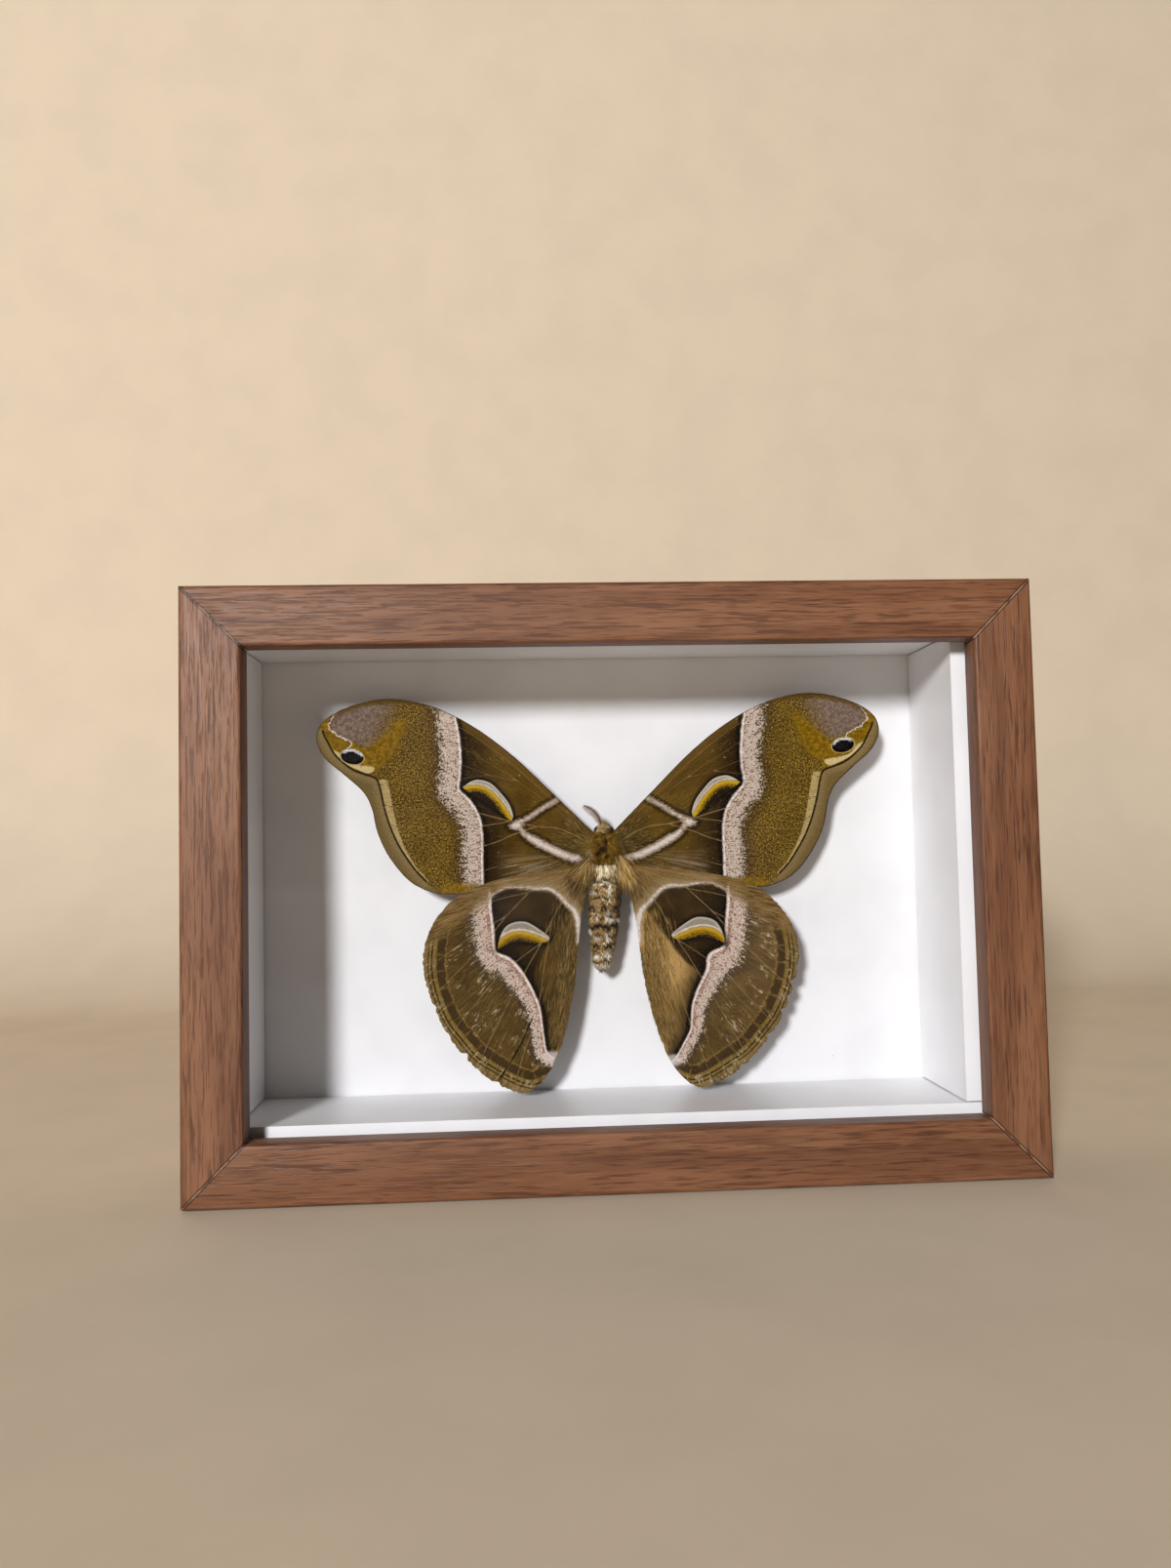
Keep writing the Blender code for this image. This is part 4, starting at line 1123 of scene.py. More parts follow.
class Bench:
    """Hand tools: one piece is worked on at a time, in metres."""

    @staticmethod
    def take(piece: Thing) -> None:
        """Select one piece and nothing else."""
        bpy.ops.object.select_all(action="DESELECT")
        piece.select_set(True)
        bpy.context.view_layer.objects.active = piece

    @staticmethod
    def block(name: str, low: tuple[float, float, float], high: tuple[float, float, float]) -> Thing:
        """A block between two corners, given in millimetres of the row frame.

        Args:
            name: the piece's name.
            low: its lowest corner.
            high: its highest corner.

        Returns:
            The block, its place in its mesh.
        """
        bpy.ops.object.select_all(action="DESELECT")
        middle = tuple((a + b) / 2 * MM for a, b in zip(low, high))
        size = tuple((b - a) * MM for a, b in zip(low, high))
        bpy.ops.mesh.primitive_cube_add(size=1.0, location=middle, scale=size)
        piece = bpy.context.active_object
        piece.name = piece.data.name = name
        Bench.fix(piece)
        return piece

    @staticmethod
    def fix(piece: Thing) -> None:
        """Put a piece's place, turn and size into its mesh."""
        Bench.take(piece)
        bpy.ops.object.transform_apply(location=True, rotation=True, scale=True)

    @staticmethod
    def apply(piece: Thing, kind: str, **settings: object) -> None:
        """Add a modifier and apply it.

        Args:
            piece: the mesh object.
            kind: the modifier's type.
            settings: its properties by name.
        """
        Bench.take(piece)
        step = piece.modifiers.new(kind.lower(), kind)
        for name, value in settings.items():
            setattr(step, name, value)
        bpy.ops.object.modifier_apply(modifier=step.name)

    @staticmethod
    def break_corners(piece: Thing, width: float) -> None:
        """Bevel every sharp corner by a width in millimetres."""
        Bench.apply(piece, "BEVEL", width=width * MM, segments=2, limit_method="ANGLE",
                    angle_limit=math.radians(50))

    @staticmethod
    def slice(piece: Thing, place: Vector, normal: Vector, away: bool = False) -> None:
        """Cut a piece along a plane, and take away what lies past it if asked.

        Args:
            piece: the mesh object.
            place: a point of the plane.
            normal: the plane's normal.
            away: whether the part on the normal's side goes.
        """
        Bench.take(piece)
        bpy.ops.object.mode_set(mode="EDIT")
        bpy.ops.mesh.select_all(action="SELECT")
        bpy.ops.mesh.bisect(plane_co=place, plane_no=normal, use_fill=away, clear_outer=away)
        bpy.ops.object.mode_set(mode="OBJECT")

    @staticmethod
    def pick(piece: Thing, mode: str, test: object) -> int:
        """Select the faces or edges that a test passes.

        Args:
            piece: the mesh object, in object mode.
            mode: FACE or EDGE.
            test: takes the centre and the normal or run of each, and says whether it is wanted.

        Returns:
            How many were selected.
        """
        mesh = piece.data
        for part in (mesh.vertices, mesh.edges, mesh.polygons):
            part.foreach_set("select", np.zeros(len(part), bool))
        found = 0
        if mode == "FACE":
            for face in mesh.polygons:
                face.select = bool(test(face.center, face.normal))
                found += face.select
        else:
            for edge in mesh.edges:
                start, end = (mesh.vertices[i].co for i in edge.vertices)
                edge.select = bool(test((start + end) / 2, end - start))
                found += edge.select
        Bench.take(piece)
        bpy.ops.object.mode_set(mode="EDIT")
        bpy.ops.mesh.select_mode(type=mode)
        bpy.ops.object.mode_set(mode="OBJECT")
        return found

    @staticmethod
    def draw_out(piece: Thing, move: Vector) -> None:
        """Extrude the selected faces by a move."""
        bpy.ops.object.mode_set(mode="EDIT")
        bpy.ops.mesh.extrude_region_move(TRANSFORM_OT_translate={"value": move})
        bpy.ops.object.mode_set(mode="OBJECT")

    @staticmethod
    def round_edges(piece: Thing, offset: float, segments: int) -> None:
        """Bevel the selected edges by an offset in millimetres."""
        bpy.ops.object.mode_set(mode="EDIT")
        bpy.ops.mesh.bevel(offset=offset * MM, segments=segments, affect="EDGES")
        bpy.ops.object.mode_set(mode="OBJECT")

    @staticmethod
    def smooth(piece: Thing, angle: float = 35.0) -> None:
        """Shade a piece smooth but for its sharper edges."""
        Bench.take(piece)
        bpy.ops.object.shade_smooth_by_angle(angle=math.radians(angle))


@dataclass
class Moulding:
    """The four mitred lengths of wood-look moulding."""

    face: float = 12.0
    wall: float = 7.2
    lip: float = 5.5
    front_round: float = 0.7
    back_round: float = 0.35
    hairline: float = 0.05

    def length(self, name: str, across: bool, sign: int) -> Thing:
        """One length, modelled straight and then mitred.

        Args:
            name: the piece's name.
            across: whether it is the top or the bottom one.
            sign: 1 for the top or right one, -1 for the bottom or left one.

        Returns:
            The piece.
        """
        half_long, half_short = CASE_WIDTH / 2, CASE_HEIGHT / 2
        if not across:
            half_long, half_short = half_short, half_long
        front, back = -CASE_DEPTH / 2, CASE_DEPTH / 2
        edges = sorted((sign * half_short, sign * (half_short - self.wall)))
        if across:
            low = (-half_long, front, edges[0] + CASE_HEIGHT / 2)
            high = (half_long, back, edges[1] + CASE_HEIGHT / 2)
        else:
            low, high = (edges[0], front, 0.0), (edges[1], back, CASE_HEIGHT)
        rail = Bench.block(name, low, high)
        inward = Vector((0.0, 0.0, -sign)) if across else Vector((-sign, 0.0, 0.0))
        lip_plane = (front + self.lip) * MM
        Bench.slice(rail, Vector((0.0, lip_plane, 0.0)), Vector((0.0, 1.0, 0.0)))
        Bench.pick(rail, "FACE", lambda c, n: n.dot(inward) > 0.9 and c.y < lip_plane)
        Bench.draw_out(rail, inward * (self.face - self.wall) * MM)
        run = Vector((1.0, 0.0, 0.0)) if across else Vector((0.0, 0.0, 1.0))
        Bench.pick(rail, "EDGE", lambda c, d: abs(d.normalized().dot(run)) > 0.99 and c.y < front * MM + 1e-5)
        Bench.round_edges(rail, self.front_round, 5)
        Bench.pick(rail, "EDGE", lambda c, d: abs(d.normalized().dot(run)) > 0.99 and c.y > back * MM - 1e-5)
        Bench.round_edges(rail, self.back_round, 3)
        middle = Vector((0.0, 0.0, CASE_HEIGHT / 2 * MM))
        for end in (-1, 1):
            corner = Vector((end if across else sign, 0.0, sign if across else end))
            place = Vector((corner.x * CASE_WIDTH / 2, 0.0, corner.z * CASE_HEIGHT / 2)) * MM + middle
            normal = Vector((corner.x, 0.0, -corner.z)).normalized() * (1 if across else -1)
            Bench.slice(rail, place - normal * self.hairline * MM, normal, away=True)
        Bench.smooth(rail)
        return rail

    def build(self) -> None:
        """Make, dress and place the four lengths."""
        finishes = {grain: WoodFoil(grain).make() for grain in Grain}
        lengths = (("top", True, 1), ("bottom", True, -1), ("right", False, 1), ("left", False, -1))
        for name, across, sign in lengths:
            rail = self.length(f"moulding_{name}", across, sign)
            finish = finishes[Grain.ACROSS if across else Grain.UP]
            settle(rail, Look.MOULDING, finish, f"rail_{name}")


@dataclass
class Glazing:
    """The glass, the white liner, the backing card and the board: the frame's own slabs."""

    liners: tuple[str, ...] = ("top", "bottom", "left", "right")

    def build(self) -> None:
        """Dress the slabs."""
        # Painted light: the liner's card is a lighter white than the backing paper, standing for light on its
        # inner faces.
        liner = CardStock("liner_card", (243, 243, 244), (236, 236, 237), matt=0.34, bright=0.9).make()
        for side in self.liners:
            dress(f"liner_{side}", Look.CARD, liner)
        dress("glass_pane", Look.GLASS, Pane().make())
        dress("backing_card", Look.CARD, CardStock("backing_paper", dust=0.8).make())
        dress("back_board", Look.BOARD, HardBoard().make())


@dataclass
class BackFittings:
    """The steel tabs that hold the board in, and the toothed hanger on it."""

    tab: tuple[float, float, float] = (5.0, 9.0, 0.5)
    crease: float = 0.28
    hanger: tuple[float, float, float] = (34.0, 9.0, 0.8)
    teeth: int = 9

    def make_tab(self, name: str, finish: Stuff, node: str) -> None:
        """One pressed tab, laid where the frame has its node.

        Args:
            name: the piece's name.
            finish: the steel.
            node: the frame's node that it replaces.
        """
        low, high = node_box(node)
        tall = high[2] - low[2] > high[0] - low[0]
        plate = Bench.block(name, low, (high[0], low[1] + self.tab[2], high[2]))
        turn = 2 if tall else 0
        outward = 1.0 if low[turn] + high[turn] > (CASE_HEIGHT if tall else 0.0) else -1.0
        inner_end = (low if outward > 0 else high)[turn]
        Bench.pick(plate, "EDGE", lambda c, d: (abs(c[turn] / MM - inner_end) < 0.05
                                                and abs(d.normalized().y) > 0.9))
        Bench.round_edges(plate, 1.6, 5)
        for share in (0.3, 0.36, 0.42):
            place = Vector((0.0, 0.0, 0.0))
            place[turn] = (inner_end + outward * self.tab[1] * share) * MM
            normal = Vector((0.0, 0.0, 0.0))
            normal[turn] = 1.0
            Bench.slice(plate, place, normal)
        for vertex in plate.data.vertices:
            along = abs(vertex.co[turn] / MM - inner_end) / self.tab[1]
            vertex.co.y += self.crease * MM * max(0.0, 1.0 - abs(along - 0.36) / 0.07)
        Bench.break_corners(plate, 0.1)
        Bench.smooth(plate)
        settle(plate, Look.STEEL, finish, node)

    def make_hanger(self, finish: Stuff) -> None:
        """The toothed hanger: a pressed plate, its teeth cut along the lower edge, and two nails."""
        low, high = node_box("hanger")
        plate = Bench.block("saw_hanger", low, high)
        span = self.hanger[0] - 8.0
        cutters = []
        for number in range(self.teeth):
            middle = -span / 2 + span * (number + 0.5) / self.teeth
            bpy.ops.object.select_all(action="DESELECT")
            bpy.ops.mesh.primitive_cylinder_add(
                vertices=3, radius=span / self.teeth * 0.62 * MM, depth=4 * MM,
                location=(middle * MM, (low[1] + high[1]) / 2 * MM, (low[2] + 0.55) * MM),
                rotation=(math.radians(90), 0.0, 0.0))
            cutters.append(bpy.context.active_object)
        for cutter in cutters:
            Bench.apply(plate, "BOOLEAN", operation="DIFFERENCE", solver="EXACT", object=cutter)
            bpy.data.objects.remove(cutter, do_unlink=True)
        Bench.pick(plate, "EDGE", lambda c, d: (abs(abs(c.x) / MM - self.hanger[0] / 2) < 0.05
                                                and abs(d.normalized().y) > 0.9))
        Bench.round_edges(plate, 2.4, 6)
        Bench.break_corners(plate, 0.12)
        Bench.smooth(plate)
        settle(plate, Look.STEEL, finish, "hanger")
        for side in (-1, 1):
            bpy.ops.object.select_all(action="DESELECT")
            bpy.ops.mesh.primitive_cylinder_add(
                vertices=32, radius=1.5 * MM, depth=0.9 * MM, rotation=(math.radians(90), 0.0, 0.0),
                location=(side * 14.2 * MM, (high[1] + 0.3) * MM, (low[2] + high[2]) / 2 * MM))
            nail = bpy.context.active_object
            nail.name = nail.data.name = "hanger_nail_" + SIDES[side]
            Bench.fix(nail)
            Bench.pick(nail, "EDGE", lambda c, d: c.y / MM > high[1] + 0.7)
            Bench.round_edges(nail, 0.35, 4)
            Bench.smooth(nail)
            settle(nail, Look.STEEL, finish)

    def build(self) -> None:
        """Make the tabs and the hanger."""
        steel = PressedSteel().make()
        for number in range(1, 7):
            self.make_tab(f"point_{number}", steel, f"tab_{number}")
        self.make_hanger(steel)


class Strands:
    """Many tapered three-sided hairs or scales, gathered into one mesh."""

    RINGS = (0.0, 0.45)

    def __init__(self, name: str) -> None:
        """Start an empty gathering with the piece's name."""
        self.name = name
        self.batches: list[tuple[Rows, ...]] = []

    def add(self, roots: Rows, middles: Rows, tips: Rows, widths: Rows, tones: Rows, patches: Rows,
            facings: Rows | tuple = TO_VIEWER) -> None:
        """Add strands, one row of each array for a strand.

        Args:
            roots: where they start, in the row frame's metres.
            middles: the points that bend them.
            tips: where they end.
            widths: how broad and how thick they are at the root, in metres.
            tones: their colours, linear with alpha.
            patches: their roots' places on the skin's unwrap.
            facings: the way that their broad side faces.
        """
        facings = np.broadcast_to(facings, roots.shape)
        self.batches.append((roots, middles, tips, widths, tones, patches, facings))

    def build(self) -> Thing:
        """The mesh, with each strand's colour, its run from root to tip and its patch."""
        root, middle, tip, width, tone, patch, facing = (np.concatenate(rows) for rows in zip(*self.batches))
        count, rings = len(root), len(self.RINGS)
        run = tip - root
        run = unit(run)
        across = np.cross(run, facing)
        across = unit(across)
        up = np.cross(across, run)
        corners = [(math.cos(a), math.sin(a)) for a in (math.pi / 2, math.pi * 7 / 6, math.pi * 11 / 6)]
        spots, shares, offsets = [], [], []
        for share in self.RINGS:
            centre = (1 - share) ** 2 * root + 2 * share * (1 - share) * middle + share ** 2 * tip
            taper = 1.0 - share ** 2 * 0.9
            for x, y in corners:
                broad, thick = x * width[:, :1] * taper / 2, y * width[:, 1:] * taper / 2
                spots.append(centre + across * broad + up * thick)
                shares.append(share)
                offsets.append((x * 0.0013 * (1 - share), y * 0.0013 * (1 - share) + 0.0002))
        spots.append(tip)
        shares.append(1.0)
        offsets.append((0.0, 0.0004))
        per = rings * 3 + 1
        places = np.stack(spots, axis=1).reshape(-1, 3)
        pattern = [(0, 2, 1)]
        for ring in range(rings - 1):
            for i in range(3):
                j = (i + 1) % 3
                a, b, c, d = ring * 3 + i, ring * 3 + j, ring * 3 + 3 + j, ring * 3 + 3 + i
                pattern += [(a, b, c), (a, c, d)]
        last = (rings - 1) * 3
        pattern += [(last + i, last + (i + 1) % 3, per - 1) for i in range(3)]
        faces = (np.array(pattern)[None] + (np.arange(count) * per)[:, None, None]).reshape(-1, 3)
        piece = mesh_from(self.name, places, faces)
        keep_field(piece, "coat", np.repeat(tone, per, axis=0))
        keep_field(piece, "along", np.tile(np.array(shares), count))
        spread = (patch[:, None, :] + np.array(offsets)[None]).reshape(-1, 2)
        layer = piece.data.uv_layers.new(name="OFBake")
        corner_of = np.empty(len(piece.data.loops), np.int32)
        piece.data.loops.foreach_get("vertex_index", corner_of)
        layer.data.foreach_set("uv", spread[corner_of].astype(np.float32).ravel())
        return piece


@dataclass
class Wing:
    """A spread wing: a fine net between its rim and veins, two faces close together."""

    side: int
    grid: float = 0.42
    rim_step: float = 0.42
    thick: float = 0.3
    rim_thick: float = 0.1
    vein_half: float = 0.26
    vein_rise: float = 0.13
    lift: float = 0.0
    shift: float = 0.0
    stretch: float = 1.0
    outline: Line = FORE_OUTLINE
    veins: tuple[Line, ...] = FORE_VEINS
    vein_weights: tuple[float, ...] = (0.3, 0.22, 0.2, 0.2, 0.8, 0.65, 0.8, 0.4)
    vein_fade: float = 2.2
    part: str = "forewing"
    root: tuple[float, float] = (0.5, -0.5)

    @property
    def label(self) -> str:
        """The wing's side in words."""
        return SIDES[self.side]

    def rim(self) -> Rows:
        """The wing's outline as points, with the small wear of its edge."""
        line = smooth_line(self.outline, self.rim_step)
        chance = np.random.default_rng(31 + self.side)
        run = np.roll(line, -1, axis=0) - np.roll(line, 1, axis=0)
        inward = columns(run[:, 1], -run[:, 0])
        inward = unit(inward)
        return line + inward * self.wear(line, chance)[:, None]

    def wear(self, line: Rows, chance: np.random.Generator) -> Rows:
        """How far inwards each point of the rim is worn."""
        return chance.uniform(0.0, 0.05, len(line))

    def net(self) -> tuple[Rows, Rows, Rows, list[Rows]]:
        """The flat net of the wing.

        Returns:
            Its points, its triangles, its rim and its vein lines.
        """
        rim = self.rim()
        closed = np.concatenate([rim, rim[:1]])
        crests = [smooth_line(vein, self.grid * 1.2) for vein in self.veins]

        def clear(spots: Rows, margin: float) -> Rows:
            """The spots inside the wing that are further than a margin from its rim."""
            spots = spots[within(spots, rim)]
            return spots[line_distance(spots, closed)[0] > margin]

        kept = [clear(crest, self.rim_step * 0.5) for crest in crests]
        edges = [(i, (i + 1) % len(rim)) for i in range(len(rim))]
        feet = []
        start = len(rim)
        for crest in kept:
            edges += [(start + i, start + i + 1) for i in range(len(crest) - 1)]
            start += len(crest)
            run = np.gradient(crest, axis=0)
            reach = unit(columns(-run[:, 1], run[:, 0])) * self.vein_half
            feet += [crest - reach, crest + reach]
        feet = np.concatenate(feet)
        gap = np.min(np.linalg.norm(feet[:, None] - np.concatenate(kept)[None], axis=2), axis=1)
        feet = clear(feet[gap > self.vein_half * 0.9], self.rim_step * 0.45)
        low, high = rim.min(0), rim.max(0)
        lattice = []
        for number, level in enumerate(np.arange(low[1], high[1], self.grid * 0.866)):
            start_x = low[0] + self.grid / 2 * (number % 2)
            lattice.append(columns(np.arange(start_x, high[0], self.grid), level))
        lattice = clear(np.concatenate(lattice), self.grid * 0.55)
        near_vein = np.min([line_distance(lattice, crest)[0] for crest in crests], axis=0)
        lattice = lattice[near_vein > self.vein_half + self.grid * 0.4]
        flat = [Vector(p) for p in np.concatenate([rim, *kept, feet, lattice])]
        verts, _, faces, *_ = geometry.delaunay_2d_cdt(flat, edges, [list(range(len(rim)))], 1, 0.02)
        return np.array([tuple(v) for v in verts]), np.array(faces), rim, crests

    def back_of(self, plan: Rows, rim_gap: Rows, vein_gap: Rows) -> Rows:
        """How far the front face lies behind the wings' plane.

        Args:
            plan: rows of places on the wing.
            rim_gap: how far each is from the rim.
            vein_gap: how far each is from a vein.

        Returns:
            Millimetres for each place.
        """
        out, forward = plan[:, 0] * self.stretch + self.shift, plan[:, 1]
        reach = np.hypot(out, forward) / 60.0
        sag = -0.8 * reach ** 2 + 0.25 * np.sin(0.16 * out + 0.07 * forward)
        angle = np.arctan2(forward - self.root[1], out - self.root[0])
        pleat = 0.1 * np.sin(angle * 34.0 + self.side) * soft(reach, 0.1, 0.5)
        ripple = 0.05 * np.sin(0.9 * out + 1.3 * forward) * np.sin(0.5 * forward - 0.7 * out)
        ridge = self.vein_rise * np.clip(1.0 - vein_gap / self.vein_half, 0.0, 1.0) ** 1.3
        return sag + pleat * 0.6 + ripple - ridge * soft(rim_gap, 0.0, 0.6) - self.lift

    def build(self) -> Thing:
        """The wing's mesh with the measures that its finish reads."""
        plan, faces, rim, crests = self.net()
        closed = np.concatenate([rim, rim[:1]])
        rim_gap, _, _ = line_distance(plan, closed)
        vein_gap = np.full(len(plan), 9.0)
        vein_line = np.full(len(plan), 9.0)
        for crest, weight in zip(crests, self.vein_weights):
            gap, _, _ = line_distance(plan, crest)
            vein_gap = np.minimum(vein_gap, gap + (1.0 - weight) * self.vein_half)
            vein_line = np.minimum(vein_line, gap / weight)
        back = self.back_of(plan, rim_gap, vein_gap)
        out = plan[:, 0] * self.stretch + self.shift
        thick = self.rim_thick + (self.thick - self.rim_thick) * soft(rim_gap, 0.0, 1.2)
        front_face = moth_places(self.side, columns(out, back, plan[:, 1]))
        back_face = moth_places(self.side, columns(out, back + thick, plan[:, 1]))
        count = len(plan)
        if self.side < 0:
            faces = faces[:, ::-1]
        runs = dict.fromkeys((a, b) for face in faces.tolist() for a, b in zip(face, face[1:] + face[:1]))
        walls = []
        for a, b in runs:
            if (b, a) not in runs:
                walls += [(b, a, a + count), (b, a + count, b + count)]
        solid = np.concatenate([faces, faces[:, ::-1] + count, np.array(walls)])
        piece = mesh_from(f"{self.part}_{self.label}_scaled", np.concatenate([front_face, back_face]), solid)
        angle = np.arctan2(plan[:, 1] - self.root[1], plan[:, 0] - self.root[0])
        reach = np.hypot(plan[:, 0] - self.root[0], plan[:, 1] - self.root[1])
        shift = 40.0 * (self.side > 0)
        fields = self.measures(plan)
        fields.update({
            "plan": columns(plan[:, 0] + shift, plan[:, 1], np.zeros(count)),
            "ray": columns(angle * 26.0 + shift, reach * 0.11, np.zeros(count)),
            "rim": rim_gap,
            "vein": vein_line * (1.0 + self.vein_fade * soft(fields["band"], 0.5, 3.0)),
        })
        for name, values in fields.items():
            keep_field(piece, name, np.concatenate([values, values]))
        return piece

    def measures(self, plan: Rows) -> dict[str, Rows]:
        """The measures of this wing's markings at each place."""
        raise NotImplementedError


@dataclass
class ForeWing(Wing):
    """A forewing, with its eyespot near the hooked tip."""

    spot_half: tuple[float, float] = (2.45, 1.55)
    spot_turn: float = 12.0
    rungs: Line = ((14.4, 0.3), (10.2, 0.35), (6.4, 0.4))

    def measures(self, plan: Rows) -> dict[str, Rows]:
        """The measures of the forewing's markings.

        Args:
            plan: rows of places on the wing.

        Returns:
            Numbers for each place, by name.
        """
        band = past(plan, FORE_BAND)
        margin = past(plan, FORE_LINE)
        margin = np.where(plan[:, 1] > 27.0, -1.0, margin)
        moon = loop_depth(plan, FORE_MOON)
        split = past(plan, FORE_MOON_SPLIT)
        thin, _, _ = line_distance(plan, smooth_line(FORE_STRIPE_THIN, 0.6))
        wide, _, share = line_distance(plan, smooth_line(FORE_STRIPE_BROAD, 0.6))
        stripe = np.minimum(thin - 0.4, wide - (0.38 + 0.42 * soft(share, 0.1, 0.4)))
        stripe = np.minimum(stripe, np.hypot((plan[:, 0] - 19.0) / 1.4, plan[:, 1] - 5.2) - 1.0)
        width = 0.55 + 1.4 * soft(plan[:, 1], -6.0, 13.0)
        cream = np.minimum.reduce([width + margin, 0.05 - margin, 15.7 - plan[:, 1], plan[:, 1] + 7.0])
        rungs = [np.abs(plan[:, 1] - at - tilt * (plan[:, 0] - 47.5)) for at, tilt in self.rungs]
        rungs.append(np.abs(plan[:, 0] - 52.3 + 0.9 * (plan[:, 1] - 18.6)))
        centre = np.array([54.2, 20.6] if self.side < 0 else [53.7, 21.4])
        turn = math.radians(self.spot_turn)
        away = plan - centre
        along = away[:, 0] * math.cos(turn) + away[:, 1] * math.sin(turn)
        up = -away[:, 0] * math.sin(turn) + away[:, 1] * math.cos(turn)
        spot = np.hypot(along / self.spot_half[0], up / self.spot_half[1])
        glint = soft(up / self.spot_half[1], 0.3, 0.5) * soft(spot, 0.74, 0.84)
        glint = glint * (1.0 - soft(spot, 0.98, 1.06))
        sheen = 0.3 * (1.0 - soft(np.hypot((along + 0.4) / 1.7, (up + 0.1) / 0.85), 0.4, 1.0))
        gold = soft(loop_depth(plan, FORE_GOLD), -1.6, 1.0)
        tornus = 1.0 - soft(np.hypot((plan[:, 0] - 31.0) / 6.6, (plan[:, 1] + 9.2) / 2.6), 0.55, 1.0)
        base = soft(-band, 12.0, 20.0)
        front, _, _ = line_distance(plan, smooth_line(FORE_OUTLINE[1:9], 0.6))
        return {
            "band": band, "margin": margin, "moon": moon, "split": split, "stripe": stripe,
            "zigzag": past(plan, FORE_ZIGZAG, 0.4), "spot": spot, "glint": glint, "sheen": sheen,
            "tip": ((1.0 - soft(front, 0.5, 1.5)) * soft(plan[:, 0], 36.0, 44.0)
                    * (1.0 - soft(plan[:, 0], 56.0, 60.0))),
            "gold": np.maximum(gold, tornus),
            "lilac": (soft(loop_depth(plan, FORE_LILAC), -0.5, 0.5)
                      * soft(plan[:, 0] + 0.5 * (plan[:, 1] - 27.0), 44.5, 52.0)),
            "cream": cream, "wedge": loop_depth(plan, FORE_WEDGE), "rung": np.minimum.reduce(rungs),
            "base": base, "costa": 1.0 - soft(front, 0.6, 2.6),
            "haze": soft(-band, 2.0, 6.0) * (1.0 - soft(plan[:, 1], -5.0, 0.5)) * soft(plan[:, 0], 7.0, 12.0),
            "lined": np.where(plan[:, 1] > 26.5, 0.0, 1.0),
        }


@dataclass
class HindWing(Wing):
    """A hindwing, with chips along its worn margin."""

    outline: Line = HIND_OUTLINE
    veins: tuple[Line, ...] = HIND_VEINS
    vein_weights: tuple[float, ...] = (0.6, 0.6, 0.8, 0.7, 0.6, 0.65, 0.45)
    vein_fade: float = 0.2
    part: str = "hindwing"
    lift: float = 1.1
    root: tuple[float, float] = (0.5, -3.5)

    def __post_init__(self) -> None:
        """Spread the right wing a little wider than the left."""
        if self.side > 0:
            self.shift, self.stretch = 1.0, 1.04

    def wear(self, line: Rows, chance: np.random.Generator) -> Rows:
        """How far inwards each point of the rim is worn: ragged on the outer margin, with chips."""
        outer = soft(line[:, 0], 24.0, 32.0) + soft(-line[:, 1], 34.0, 42.0)
        worn = chance.uniform(0.0, 0.32, len(line)) * np.clip(outer, 0.12, 1.0)
        if self.side > 0:
            worn -= 1.3 * np.clip(1.0 - np.hypot(line[:, 0] - 13.0, line[:, 1] + 48.3) / 5.0, 0.0, 1.0)
        for x, y, depth in HIND_NOTCHES[self.side]:
            gap = np.hypot(line[:, 0] - x, line[:, 1] - y)
            worn = np.maximum(worn, depth * np.clip(1.0 - gap / 1.1, 0.0, 1.0))
        return worn

    def measures(self, plan: Rows) -> dict[str, Rows]:
        """The measures of the hindwing's markings.

        Args:
            plan: rows of places on the wing.

        Returns:
            Numbers for each place, by name.
        """
        right = float(self.side > 0)
        bulge = 2.3 * soft(-plan[:, 1], 23.0, 28.0) * (1.0 - soft(-plan[:, 1], 39.0, 46.0))
        drop = 1.6 * soft(-plan[:, 1], 36.0, 43.0)
        place = plan
        plan = plan + right * columns(-bulge, drop)
        band = past(plan, HIND_BAND)
        band = np.where(band > 0.0, band * (1.0 + 0.7 * soft(-plan[:, 1], 26.0, 43.0)), band)
        gap, side, run = line_distance(place, smooth_line(HIND_LINE, 0.6))
        line = gap * side
        fold = past(plan, HIND_FOLD)
        arch, _, share = line_distance(place, smooth_line(HIND_ARCH, 0.6))
        lens = place - np.array([0.6 * right, 0.0])
        slit, _, _ = line_distance(plan, smooth_line(HIND_SLIT, 0.6))
        lead = soft(plan[:, 1] + 0.75 * (plan[:, 0] - 24.0), -11.5, -7.0) * soft(plan[:, 0], 22.0, 25.0)
        worn = 0.25 * soft(band, 0.8, 3.0) * (1.0 - soft(line, -3.5, -2.0)) + 0.5 * soft(line, -2.0, 0.0)
        for x, y, wide, long in HIND_SCARS[self.side]:
            worn += 1.0 - soft(np.hypot((place[:, 0] - x) / wide, (place[:, 1] - y) / long), 0.5, 1.2)
        return {
            "band": band, "line": line, "fold": fold,
            "arch": arch + 0.3 * (1.0 - soft(share, 0.1, 0.6)) - 0.25 * soft(share, 0.6, 0.9),
            "moon": loop_depth(lens, HIND_MOON), "split": past(lens, HIND_MOON_SPLIT),
            "cell": loop_depth(plan, HIND_CELL), "block": np.abs(run * 12.0 % 1.0 - 0.5) * 2.0,
            # sunny: painted light, up on the right wing only and most towards its front.
            "sunny": 0.7 * right * (1.0 - 0.6 * soft(-place[:, 1], 26.0, 42.0)),
            "slit": slit if self.side < 0 else np.full(len(plan), 9.0),
            "worn": np.clip(worn, 0.0, 1.0),
            "outer": soft(band, -0.2, 0.2) * (1.0 - lead), "lead": lead,
            "foot": 1.0 - soft(np.hypot((plan[:, 0] - 12.2) / 2.6, (plan[:, 1] + 44.8) / 1.4), 0.6, 1.1),
        }


